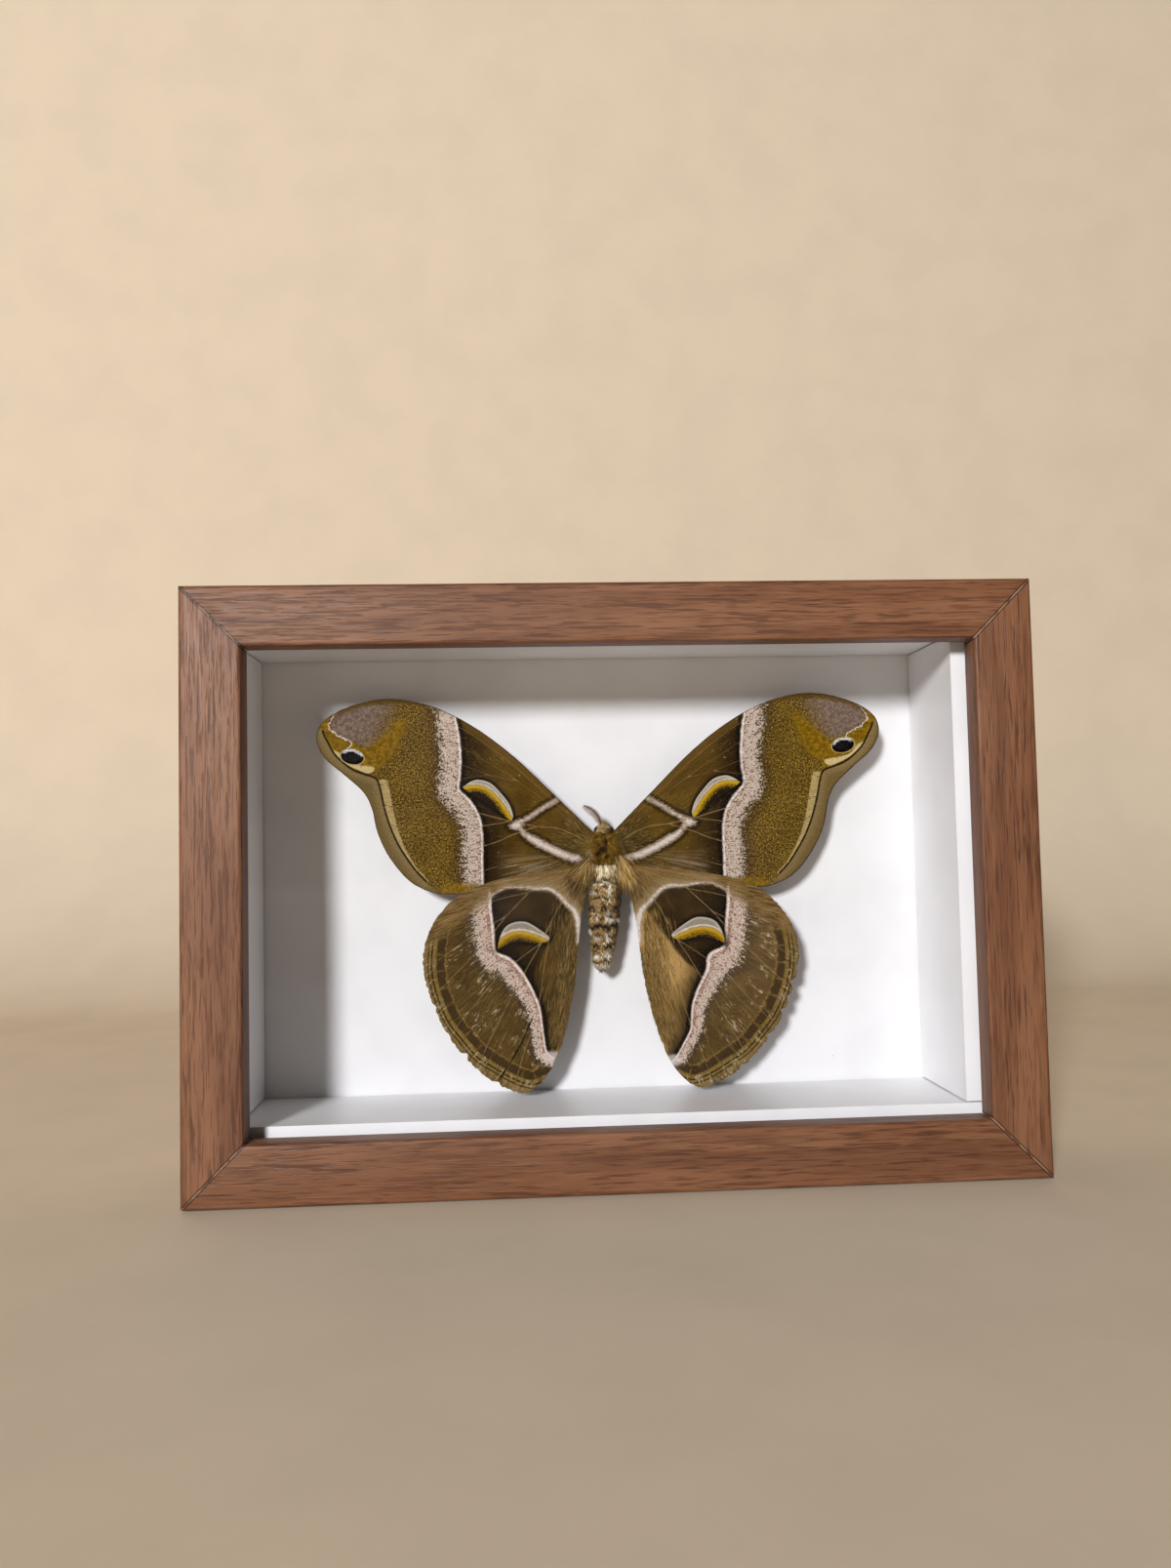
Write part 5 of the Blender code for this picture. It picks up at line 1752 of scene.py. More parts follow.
@dataclass
class BodyShape:
    """The head, thorax and abdomen as one run of ovals across the moth's axis."""

    inset: float = 0.45
    front: float = 5.12
    back: float = -26.7
    lumps: Line = ((0.0, 1.6, -1.4, 4.0, 4.3, 4.9), (0.3, 1.1, 3.4, 1.65, 1.9, 1.75))
    waist: float = -4.6
    length: float = 21.7
    radii: tuple[float, ...] = (2.7, 3.4, 3.55, 3.4, 3.15, 2.8, 2.3, 1.75)
    hip: float = 0.6
    lean: float = -1.5
    depth: float = 1.2

    def ovals(self, forward: Rows) -> tuple[Rows, Rows, Rows, Rows]:
        """The ovals at places along the axis.

        Args:
            forward: places along the axis.

        Returns:
            Middles outwards and behind the wings, half widths and half depths.
        """
        parts = []
        for out, behind, at, wide, deep, long in self.lumps:
            share = np.sqrt(np.clip(1.0 - ((forward - at) / long) ** 2, 1e-6, 1.0))
            level = np.ones(len(forward))
            parts.append((out * level, behind * level, wide * share, deep * share))
        along = (self.waist - forward) / self.length
        segments = len(self.radii) - 1
        radius = np.interp(along, np.linspace(0.0, 1.0, len(self.radii)), self.radii)
        phase = np.clip(along, 0.0, 1.0) * segments % 1.0
        radius = radius * (0.93 + 0.12 * np.sin(math.pi * np.clip(phase, 0.0, 1.0)) ** 0.6)
        radius = radius * np.sqrt(np.clip(1.0 - (np.clip(along - 0.93, 0.0, 1.0) / 0.092) ** 2, 1e-6, 1.0))
        radius = radius * soft(along, -0.14, 0.02)
        parts.append((self.hip + self.lean * along, np.full(len(forward), self.depth), radius, radius))
        weight = [part[2] ** 4 + 1e-9 for part in parts]
        total = sum(weight)
        out = sum(w * p[0] for w, p in zip(weight, parts)) / total
        behind = sum(w * p[1] for w, p in zip(weight, parts)) / total
        return out, behind, total ** 0.25, sum(p[3] ** 4 for p in parts) ** 0.25

    def spots(self, turn: Rows, forward: Rows, lift: float = 0.0) -> Rows:
        """Points on the skin, or above it.

        Args:
            turn: angles round the axis, from the right, with the back of the moth at -90 degrees.
            forward: places along the axis.
            lift: millimetres above the skin.

        Returns:
            Rows of (outwards, behind the wings, forwards).
        """
        out, behind, wide, deep = self.ovals(forward)
        room = np.minimum(self.inset, wide * 0.6) - lift
        return columns(out + (wide - room) * np.cos(turn), behind + (deep - room) * np.sin(turn), forward)

    def normals(self, turn: Rows, forward: Rows) -> Rows:
        """Outward directions at points of the skin."""
        step = 0.05
        round_it = self.spots(turn + step, forward) - self.spots(turn - step, forward)
        along = self.spots(turn, forward + step) - self.spots(turn, forward - step)
        normal = np.cross(round_it, along)
        return unit(normal)

    def girth(self, forward: Rows) -> Rows:
        """How far it is round the body at places along the axis, about."""
        _, _, wide, deep = self.ovals(forward)
        return math.pi * (wide + deep)


@dataclass(frozen=True)
class BodyMarkings:
    """The colours of the body, as the skin and the coat over it share them."""

    thorax: Rgb = (130, 97, 27)
    thorax_dark: Rgb = (50, 32, 8)
    side: Rgb = (124, 95, 38)
    belly: Rgb = (150, 130, 98)
    head: Rgb = (166, 136, 84)
    pale: Rgb = (226, 204, 166)
    abdomen: Rgb = (182, 151, 98)
    abdomen_dark: Rgb = (76, 58, 34)
    gap: Rgb = (26, 16, 8)
    white: Rgb = (250, 240, 220)
    gaps: Line = (
        (-7.0, 0.35, 0.7), (-11.2, 0.2, 0.8), (-13.4, 0.3, 0.9), (-15.3, 0.18, 0.8), (-17.4, 0.44, 1.0),
        (-19.3, 0.18, 0.8), (-21.8, 0.34, 0.9), (-24.8, 0.2, 0.7),
    )
    unbroken: int = 4
    tufts: Line = (
        (-1.4, -8.3, 1.2, 0.35), (0.3, -7.7, 0.8, 0.45), (0.85, -9.6, 0.5, 2.0), (-2.1, -10.2, 0.9, 0.25),
        (0.6, -14.4, 0.3, 0.8), (-1.65, -15.8, 0.4, 0.5), (0.65, -15.8, 1.0, 0.9), (2.6, -15.9, 0.4, 0.7),
        (-1.75, -20.0, 0.6, 0.6), (0.4, -20.0, 0.7, 1.1), (-2.9, -18.6, 0.3, 1.1), (0.0, -23.7, 1.0, 1.1),
        (-1.9, -24.0, 0.6, 0.6), (-1.0, -26.0, 2.2, 0.6),
    )
    # The dark spot at (2.7, -3.8), beside the right wing's root, is painted shade.
    dark_spots: Line = (
        (0.35, 0.8, 0.45, 0.8), (-0.3, -0.8, 1.0, 0.8), (-1.2, -1.7, 0.7, 0.6), (2.7, -3.8, 0.9, 1.0),
        (0.2, -4.7, 1.6, 0.5), (0.6, -2.2, 0.6, 0.5), (-2.3, 3.9, 0.7, 0.9), (1.7, 3.2, 0.6, 0.8),
    )

    def rows(self, spots: Rows, seed: int) -> Rows:
        """Colours for points on the body.

        Args:
            spots: rows of (outwards, behind the wings, forwards).
            seed: the start of the chance in them.

        Returns:
            Rows of linear red, green, blue and alpha.
        """
        chance = np.random.default_rng(seed)
        out, behind, forward = spots.T

        def lay(under: Rows, colour: Rgb, share: Rows) -> Rows:
            """One colour over the rows so far."""
            return under + (np.array(colour, float) - under) * np.clip(share, 0.0, 1.0)[:, None]

        rows = np.tile(np.array(self.thorax, float), (len(spots), 1))
        tuft = np.sin(out * 2.7 + 1.7 * np.sin(forward * 1.6 + 0.5)) * np.sin(forward * 2.1 + 1.3 * out)
        rows = lay(rows, self.thorax_dark, 0.5 * soft(tuft, 0.1, 0.7))
        rows = lay(rows, self.pale, 0.2 * soft(-tuft, 0.4, 0.9))
        rows = lay(rows, self.side, soft(np.abs(out), 2.1, 3.2) * 0.8)
        shoulder = np.hypot((out + 2.8) / 0.8, (forward + 2.4) / 2.0)
        rows = lay(rows, self.pale, 0.6 * (1.0 - soft(shoulder, 0.5, 1.0)))
        rows = lay(rows, self.head, soft(forward, 2.7, 3.2))
        ragged = 0.22 * np.sin(out * 4.7 + 0.6) + 0.14 * np.sin(out * 9.1)
        for middle, bow, low, high, share in ((4.0, -0.12, -1.0, 1.6, 0.55), (3.3, 0.1, -2.2, 0.9, 0.7)):
            level = forward - middle - bow * out ** 2 + ragged
            rows = lay(rows, self.thorax_dark, 0.5 * (1.0 - soft(np.abs(level + 0.4), 0.05, 0.35)))
            inside = soft(out, low, low + 0.6) * (1.0 - soft(out, high - 0.6, high))
            rows = lay(rows, self.pale, share * inside * (1.0 - soft(np.abs(level), 0.05, 0.32)))
        for x, z, wide, long in self.dark_spots:
            near = 1.0 - soft(np.hypot((out - x) / wide, (forward - z) / long), 0.45, 1.2)
            rows = lay(rows, self.thorax_dark, 0.95 * near)
        abdomen = np.tile(np.array(self.abdomen, float), (len(spots), 1))
        abdomen = lay(abdomen, self.abdomen_dark, 0.5 * (chance.random(len(spots)) > 0.7))
        ripple = np.sin(forward * 4.6 + 1.5 * np.sin(out * 1.7 + forward * 0.6) + 0.5 * np.sin(out * 4.9))
        broad = np.sin(out * 1.9 + 2.3 * np.sin(forward * 1.15)) * np.sin(forward * 1.7 + 0.8 * out)
        abdomen = lay(abdomen, self.white, 0.5 * soft(ripple, 0.35, 0.9) * soft(broad, -0.3, 0.5))
        abdomen = lay(abdomen, self.abdomen_dark, 0.8 * soft(-ripple, 0.45, 0.9) * soft(-broad, -0.6, 0.4))
        abdomen = lay(abdomen, self.abdomen_dark, 0.75 * soft(np.abs(out - 0.3 - 0.06 * forward), 2.1, 3.0))
        for x, z, wide, long in self.tufts:
            edge = np.hypot((out - x) / wide, (forward - z) / long) + 0.3 * np.sin(out * 7.0 + forward * 5.0)
            abdomen = lay(abdomen, self.white, 0.95 * (1.0 - soft(edge, 0.6, 1.2)))
        for number, (at, half, depth) in enumerate(self.gaps):
            wander = 0.3 * np.sin(out * 2.3 + at) + 0.18 * np.sin(out * 6.1 - at)
            whole = 1.0 if number == self.unbroken else soft(np.sin(out * 2.9 + at * 1.7) + 0.55, 0.0, 0.7)
            clear = soft(np.abs(forward - at + wander), half * 0.5, half * 1.5)
            abdomen = lay(abdomen, self.gap, depth * whole * (1.0 - clear))
        rows = np.where((forward < -6.9)[:, None], abdomen, rows)
        rows = lay(rows, self.belly, soft(behind, 2.6, 3.8) * 0.9)
        rows = rows * (1.0 + 0.17 * chance.standard_normal((len(spots), 1)))
        return linear(np.clip(rows, 0.0, 255.0))


@dataclass
class Body:
    """The skin of the head, thorax and abdomen, and the eyes beside the head."""

    shape: BodyShape
    markings: BodyMarkings
    sides: int = 72
    step: float = 0.22
    eye_radius: float = 0.95

    def skin(self) -> Thing:
        """One closed skin from the brow to the tip of the abdomen."""
        count = round((self.shape.front - self.shape.back) / self.step)
        share = (1.0 - np.cos(np.linspace(0.0, math.pi, 9))) / 2.0
        ends = share[1:5] * 0.6
        forward = np.concatenate([self.shape.front - ends,
                                  np.linspace(self.shape.front - 0.5, self.shape.back + 0.3, count),
                                  self.shape.back + ends[::-1] * 0.4])
        forward = np.sort(forward)[::-1]
        turn = np.linspace(0.0, 2 * math.pi, self.sides, endpoint=False)
        grid = self.shape.spots(np.tile(turn, len(forward)), np.repeat(forward, self.sides))
        out, behind, _, _ = self.shape.ovals(np.array([self.shape.front, self.shape.back]))
        poles = columns(out, behind, [self.shape.front + 0.01, self.shape.back - 0.01])
        spots = np.concatenate([grid, poles])
        piece = mesh_from("body_skin", moth_places(1, spots), tube_faces(len(forward), self.sides))
        keep_field(piece, "coat", self.markings.rows(spots, 5))
        return piece

    def eye(self, side: int) -> Thing:
        """One eye: a ball with a seated rim on the side of the head."""
        at = moth_places(side, np.array([[1.4 + side * 0.3, 1.9, 3.7]]))[0]
        bpy.ops.object.select_all(action="DESELECT")
        bpy.ops.mesh.primitive_ico_sphere_add(subdivisions=5, radius=self.eye_radius * MM, location=at,
                                              scale=(0.86, 1.0, 1.0))
        eye = bpy.context.active_object
        eye.name = eye.data.name = "eye_ball_" + SIDES[side]
        Bench.fix(eye)
        head = Vector((-side, 0.3, -0.2)).normalized()
        middle = Vector(at)
        Bench.pick(eye, "FACE", lambda c, n: (c - middle).normalized().dot(head) > 0.62)
        bpy.ops.object.mode_set(mode="EDIT")
        bpy.ops.mesh.inset(thickness=0.06 * MM, use_boundary=True)
        bpy.ops.transform.translate(value=head * 0.25 * MM)
        bpy.ops.object.mode_set(mode="OBJECT")
        Bench.apply(eye, "SMOOTH", factor=0.4, iterations=2)
        Bench.smooth(eye, 60.0)
        return eye

    def build(self) -> None:
        """Make the skin and both eyes."""
        settle(self.skin(), Look.FUR, BodySkin().make(), "thorax", "head", "abdomen")
        shell = EyeShell().make()
        for side, label in SIDES.items():
            settle(self.eye(side), Look.EYE, shell, f"eye_{label}")


@dataclass(frozen=True)
class Tufting:
    """How one part of the body is covered."""

    name: str
    look: Look
    count: int
    front: float
    back: float
    length: float
    rise: float
    width: float
    spread: float
    lay: float = -1.0


@dataclass
class Coat:
    """Tufts over the skin, lying back along the body."""

    shape: BodyShape
    markings: BodyMarkings
    parts: tuple[Tufting, ...] = (
        Tufting("head_fuzz", Look.FUR, 3600, 5.05, 2.7, 0.75, 50.0, 0.16, 0.7, -0.35),
        Tufting("thorax_fuzz", Look.FUR, 15000, 3.3, -6.6, 1.3, 30.0, 0.17, 0.5),
        Tufting("abdomen_scales", Look.ABDOMEN, 17000, -5.6, -26.6, 1.15, 24.0, 0.3, 0.45),
    )

    def cover(self, part: Tufting, seed: int) -> Strands:
        """The tufts of one part.

        Args:
            part: what covers it.
            seed: the start of the chance in it.

        Returns:
            The gathered tufts.
        """
        chance = np.random.default_rng(seed)
        forward = chance.uniform(part.back, part.front, part.count * 4)
        girth = self.shape.girth(forward)
        forward = forward[chance.random(len(forward)) * girth.max() < girth][:part.count]
        turn = chance.uniform(0.0, 2 * math.pi, len(forward))
        root = self.shape.spots(turn, forward, -0.08)
        normal = self.shape.normals(turn, forward)
        axis = np.zeros_like(root)
        axis[:, 2] = part.lay
        side = np.cross(normal, axis)
        side = unit(side)
        run = axis - normal * np.sum(axis * normal, axis=1, keepdims=True)
        run = run + side * chance.normal(0.0, part.spread, (len(root), 1))
        run = unit(run)
        rise = np.radians(part.rise * chance.uniform(0.4, 1.5, (len(root), 1)))
        length = part.length * chance.uniform(0.6, 1.25, (len(root), 1))
        way = run * np.cos(rise) + normal * np.sin(rise)
        tip = root + way * length
        middle = root + way * length * 0.5 + normal * length * 0.1
        gathered = Strands(part.name)
        width = part.width * chance.uniform(0.6, 1.4, (len(root), 1)) * np.array([[1.0, 0.5]])
        tones = self.markings.rows(root + run * length * 0.6, seed + 1)
        patches = columns(turn / (2 * math.pi) * 0.5 + 0.2, (forward - self.shape.back) / 40.0 + 0.05)
        gathered.add(moth_places(1, root), moth_places(1, middle), moth_places(1, tip), width * MM, tones,
                     patches, normal)
        return gathered

    def build(self) -> None:
        """Cover every part."""
        finish = {Look.FUR: CoatOfHair("body_fuzz").make(),
                  Look.ABDOMEN: CoatOfHair("abdomen_coat", 0.5).make()}
        for number, part in enumerate(self.parts):
            settle(self.cover(part, 71 + number).build(), part.look, finish[part.look])


@dataclass
class LongHair:
    """The cream collar behind the thorax and the golden fans over the hindwings' roots."""

    collar_count: int = 1500
    fan_count: int = 950
    fan_root: tuple[float, float] = (2.9, -3.1)
    fan_tips: dict[int, Line] = field(default_factory=lambda: {
        -1: ((3.6, -9.4), (5.0, -10.2), (6.5, -9.8), (7.9, -8.8), (8.9, -7.4)),
        1: ((3.8, -9.8), (5.2, -11.0), (6.5, -11.3), (7.5, -10.2), (8.0, -8.4)),
    })

    def collar(self) -> Strands:
        """Long pale hair from the thorax's hind edge over the waist."""
        chance = np.random.default_rng(17)
        count = self.collar_count
        out = chance.uniform(-2.9, 2.9, count)
        front = chance.uniform(-5.7, -3.9, count)
        root = columns(out * 0.95, -2.35 + 0.13 * out ** 2, front)
        root[:, 1] += 0.2 * np.clip(-2.9 - front, 0.0, 3.0) - 0.35
        length = chance.uniform(1.1, 2.9, count) * (0.9 + 0.3 * np.sin(out * 4.3))
        sway = 0.2 * np.sin(out * 3.1 + 1.0) + chance.normal(0.0, 0.16, count)
        tip = root + columns(sway * length + out * 0.05, 0.12 * length + 0.1, -length)
        middle = (root + tip) / 2 + np.array([0.0, -0.25, 0.0])
        tones = varied((236.0, 221.0, 184.0), 0.12, chance, count)
        streaky = 0.35 * soft(np.sin(out * 6.3 + front * 0.7), 0.1, 0.7)
        edges = 0.5 * soft(-out, 0.9, 2.0) + 0.5 * soft(out, 2.2, 2.7)
        browner = chance.random(count) < 0.12 + streaky + edges
        tones = np.where(browner[:, None], tones * np.array([0.6, 0.48, 0.3]), tones)
        gathered = Strands("collar_hair")
        width = chance.uniform(0.1, 0.22, (count, 1)) * np.array([[1.0, 0.5]])
        patches = columns(out / 80.0 + 0.85, front / 80.0 + 0.2)
        gathered.add(moth_places(1, root), moth_places(1, middle), moth_places(1, tip), width * MM,
                     linear(tones), patches)
        return gathered

    def fan(self, side: int) -> Strands:
        """One golden fan, spreading from the root of the wings."""
        chance = np.random.default_rng(23 + side)
        count = self.fan_count
        share = chance.random(count)
        arc = smooth_line(self.fan_tips[side], 0.2)
        tip = arc[(share * (len(arc) - 1)).astype(int)] + chance.normal(0.0, 0.8, (count, 2))
        root = np.array(self.fan_root) + columns(chance.normal(0.0, 0.45, count) + 0.7 * share,
                                                 chance.normal(0.0, 0.5, count) + 1.2 * share)
        start = chance.uniform(0.0, 0.5, (count, 1))
        end = np.minimum(start + chance.uniform(0.3, 0.75, (count, 1)), chance.uniform(0.8, 1.12, (count, 1)))
        first, last = root + (tip - root) * start, root + (tip - root) * end
        high = (1.0 - start[:, 0]) ** 2 * 0.6
        first = columns(first[:, 0], -1.25 - high - chance.uniform(0.0, 0.2, count), first[:, 1])
        lifted = -1.2 - chance.uniform(0.0, 0.3, count) - 0.3 * (1.0 - end[:, 0])
        last = columns(last[:, 0], lifted, last[:, 1])
        bend = (first + last) / 2 + columns(chance.normal(0.0, 0.12, count), -0.12,
                                            chance.normal(0.0, 0.14, count) + 0.15)
        sunlit = float(side > 0)
        tones = varied((160.0, 128.0, 72.0), 0.2, chance, count, 0.25 * sunlit)
        bright = chance.random(count) < (0.2 + 0.3 * sunlit) * (1.0 - 0.6 * end[:, 0])
        tones = np.where(bright[:, None], np.array([240.0, 212.0, 152.0]), tones)
        tones = np.where(some(0.4, chance, count), tones * np.array([0.58, 0.54, 0.46]), tones)
        gathered = Strands("fan_" + SIDES[side])
        width = chance.uniform(0.05, 0.12, (count, 1)) * np.array([[1.0, 0.4]])
        patches = columns(last[:, 0] / 80.0 + (0.75 if side < 0 else 0.88), last[:, 2] / 80.0 + 0.45)
        gathered.add(moth_places(side, first), moth_places(side, bend), moth_places(side, last), width * MM,
                     linear(tones), patches)
        return gathered

    def build(self) -> None:
        """Make the collar and both fans."""
        finish = CoatOfHair("long_hair", 0.42, 0.3).make()
        settle(self.collar().build(), Look.FUR, finish)
        for side in (-1, 1):
            settle(self.fan(side).build(), Look.FUR, finish)


@dataclass
class Down:
    """Fine hair that lies on the wings: at their roots and along the hindwings' inner margin."""

    side: int
    hind: Wing
    fore: Wing
    hind_count: int = 5200
    fore_count: int = 2200

    def lay(self, gathered: Strands, wing: Wing, spots: Rows, ways: Rows, tones: Rows,
            width: float, chance: np.random.Generator) -> None:
        """Lay hairs on a wing's front face.

        Args:
            gathered: where they are gathered.
            wing: the wing.
            spots: rows of their roots in plan.
            ways: rows of their runs in plan, with their length.
            tones: rows of colours, 0 to 255.
            width: how broad a hair is at its root.
            chance: the chance in them.
        """
        far = np.full(len(spots), 9.0)
        points = []
        for share, rise in ((0.0, 0.0), (0.5, 0.09), (1.0, 0.06)):
            plan = spots + ways * share
            back = wing.back_of(plan, far, far) - rise - chance.uniform(0.0, 0.03, len(spots))
            out = plan[:, 0] * wing.stretch + wing.shift
            points.append(moth_places(wing.side, columns(out, back, plan[:, 1])))
        widths = width * chance.uniform(0.6, 1.4, (len(spots), 1)) * np.array([[1.0, 0.5]]) * MM
        patches = columns(spots[:, 0] / 150.0 + (0.1 if wing.side < 0 else 0.6), spots[:, 1] / 150.0 + 0.6)
        gathered.add(*points, widths, linear(tones), patches)

    def build(self, finish: Stuff) -> None:
        """Lay the hair of this side's wings."""
        chance = np.random.default_rng(41 + self.side)
        label = SIDES[self.side]
        gathered = Strands(f"hindwing_down_{label}")
        inner = smooth_line(HIND_OUTLINE[12:], 0.3)
        pick = chance.integers(0, len(inner) - 1, self.hind_count)
        away = np.abs(chance.normal(0.0, 2.6, self.hind_count))
        run = inner[pick] - inner[pick + 1]
        run = unit(run)
        inward = columns(-run[:, 1], run[:, 0])
        inward *= np.sign(inward[:, :1] + 1e-9)
        spots = inner[pick] + inward * away[:, None]
        count = self.hind_count
        length = chance.uniform(1.4, 3.2, (count, 1)) * (0.45 + 0.55 * soft(away, 0.2, 1.5))[:, None]
        fringe = (away < 0.7)[:, None]
        ways = run + np.where(fringe, -0.22, 0.06) * inward + chance.normal(0.0, 0.07, (count, 2))
        ways = ways * length
        ways = np.where(ways[:, 1:] > 0.0, -ways, ways)
        # Painted light: the right wing's hairs are made 28 % lighter, for the light that falls on that side.
        tones = varied((124.0, 98.0, 50.0), 0.16, chance, count, 0.28 * (self.side > 0))
        tones = np.where(some(0.14, chance, count), (184.0, 154.0, 98.0), tones)
        tones = np.where(some(0.3, chance, count), tones * 0.58, tones)
        clear = np.ones(count, bool)
        for plan in (spots, spots + ways):
            arch, _, _ = line_distance(plan, smooth_line(HIND_ARCH, 0.6))
            clear &= (arch > 1.2) & (past(plan, HIND_BAND) < -0.5) & (plan[:, 1] > -43.5)
        self.lay(gathered, self.hind, spots[clear], ways[clear], tones[clear], 0.075, chance)
        settle(gathered.build(), Look.FUR, finish)
        gathered = Strands(f"forewing_down_{label}")
        angle = chance.uniform(-0.35, 1.0, self.fore_count)
        reach = 2.2 + 8.5 * chance.random(self.fore_count) ** 2.6
        ray = columns(np.cos(angle), np.sin(angle))
        spots = np.array([0.5, -0.8]) + ray * reach[:, None]
        rim = smooth_line(FORE_OUTLINE, 0.6)
        kept = within(spots, rim) & within(spots + ray * 2.2, rim)
        for plan in (spots, spots + ray * 1.5):
            gap, _, _ = line_distance(plan, smooth_line(FORE_STRIPE_BROAD, 0.6))
            kept &= gap > 0.95
        spots, ray = spots[kept], ray[kept]
        length = chance.uniform(1.0, 2.2, (len(spots), 1))
        tones = varied((104.0, 82.0, 34.0), 0.16, chance, len(spots))
        tones = np.where(some(0.14, chance, len(spots)), (176.0, 148.0, 90.0), tones)
        tones = np.where(some(0.25, chance, len(spots)), tones * 0.6, tones)
        ways = (ray + chance.normal(0.0, 0.09, (len(spots), 2))) * length
        self.lay(gathered, self.fore, spots, ways, tones, 0.075, chance)
        settle(gathered.build(), Look.FUR, finish)


def tube_from(name: str, side: int, line: Rows, radii: Rows, sides: int) -> Thing:
    """A tapering tube along points in the moth's millimetres, closed at both ends.

    Args:
        name: the piece's name.
        side: -1 for the left half of the moth, 1 for the right.
        line: rows of (outwards, behind the wings, forwards).
        radii: millimetres for each point.
        sides: corners round it.

    Returns:
        The tube, with how far along each place is.
    """
    places = moth_places(side, line)
    run = np.gradient(places, axis=0)
    run = unit(run)
    across = np.cross(run[0], [0.0, 1.0, 0.3])
    rings = []
    for place, ahead, radius in zip(places, run, radii):
        across = across - ahead * (across @ ahead)
        across /= np.linalg.norm(across)
        up = np.cross(ahead, across)
        turn = np.linspace(0.0, 2 * math.pi, sides, endpoint=False)[:, None]
        rings.append(place + radius * MM * (np.cos(turn) * across + np.sin(turn) * up))
    spots = np.concatenate(rings + [places[:1], places[-1:]])
    piece = mesh_from(name, spots, tube_faces(len(places), sides))
    along = np.concatenate([np.repeat(np.linspace(0.0, 1.0, len(places)), sides), [0.0, 1.0]])
    keep_field(piece, "along", along * 0.0 if name.startswith("antenna") else along)
    return piece


@dataclass
class Antenna:
    """A feathered antenna: a bowed shaft with a comb of fine branches on each side."""

    side: int
    route: Line
    radius: float = 0.16
    joints: int = 24
    teeth: int = 48
    longest: float = 1.75

    def combs(self, line: Rows, name: str) -> Strands:
        """The branches, two on each side of every joint.

        Args:
            line: rows of points on the shaft.
            name: the piece's name.

        Returns:
            The gathered branches.
        """
        chance = np.random.default_rng(59 + self.side)
        rows = []
        for number in range(self.teeth):
            share = 0.12 + 0.86 * number / (self.teeth - 1)
            place = share * (len(line) - 1)
            base = min(int(place), len(line) - 2)
            root = line[base] + (line[base + 1] - line[base]) * (place - base)
            ahead = line[base + 1] - line[base]
            ahead = ahead / np.linalg.norm(ahead)
            reach = self.longest * math.sin(math.pi * (0.2 + 0.72 * share)) ** 0.8
            for turn, long in ((-1, 1.0), (1, 0.4)):
                away = np.array([-ahead[2] * turn, 0.55 if turn > 0 else 0.15, ahead[0] * turn])
                away = away / np.linalg.norm(away) + ahead * 0.42
                away = away / np.linalg.norm(away) * reach * long * chance.uniform(0.9, 1.05)
                rows.append((root, root + away * 0.55 - ahead * 0.12, root + away + ahead * reach * 0.22))
        root, middle, tip = (np.array([row[i] for row in rows]) for i in range(3))
        count = len(rows)
        gathered = Strands(name)
        tones = np.tile(linear((206, 196, 190)), (count, 1))
        patches = columns(np.linspace(0.05, 0.95, count), np.full(count, 0.5))
        gathered.add(*(moth_places(self.side, rows) for rows in (root, middle, tip)),
                     np.tile([0.12 * MM, 0.05 * MM], (count, 1)), tones, patches)
        return gathered

    def build(self, finish: Stuff) -> None:
        """Make the shaft and its combs."""
        label = SIDES[self.side]
        line = smooth_line(self.route, 0.12)
        share = np.linspace(0.0, 1.0, len(line))
        radii = self.radius * (1.0 - 0.55 * share) * (1.0 + 0.12 * np.sin(share * self.joints * 2 * math.pi))
        radii[:3] *= 1.5
        shaft = tube_from(f"antenna_shaft_{label}", self.side, line, radii, 14)
        settle(shaft, Look.ANTENNA, finish, f"antenna_{label}")
        settle(self.combs(line, f"antenna_combs_{label}").build(), Look.ANTENNA, finish)


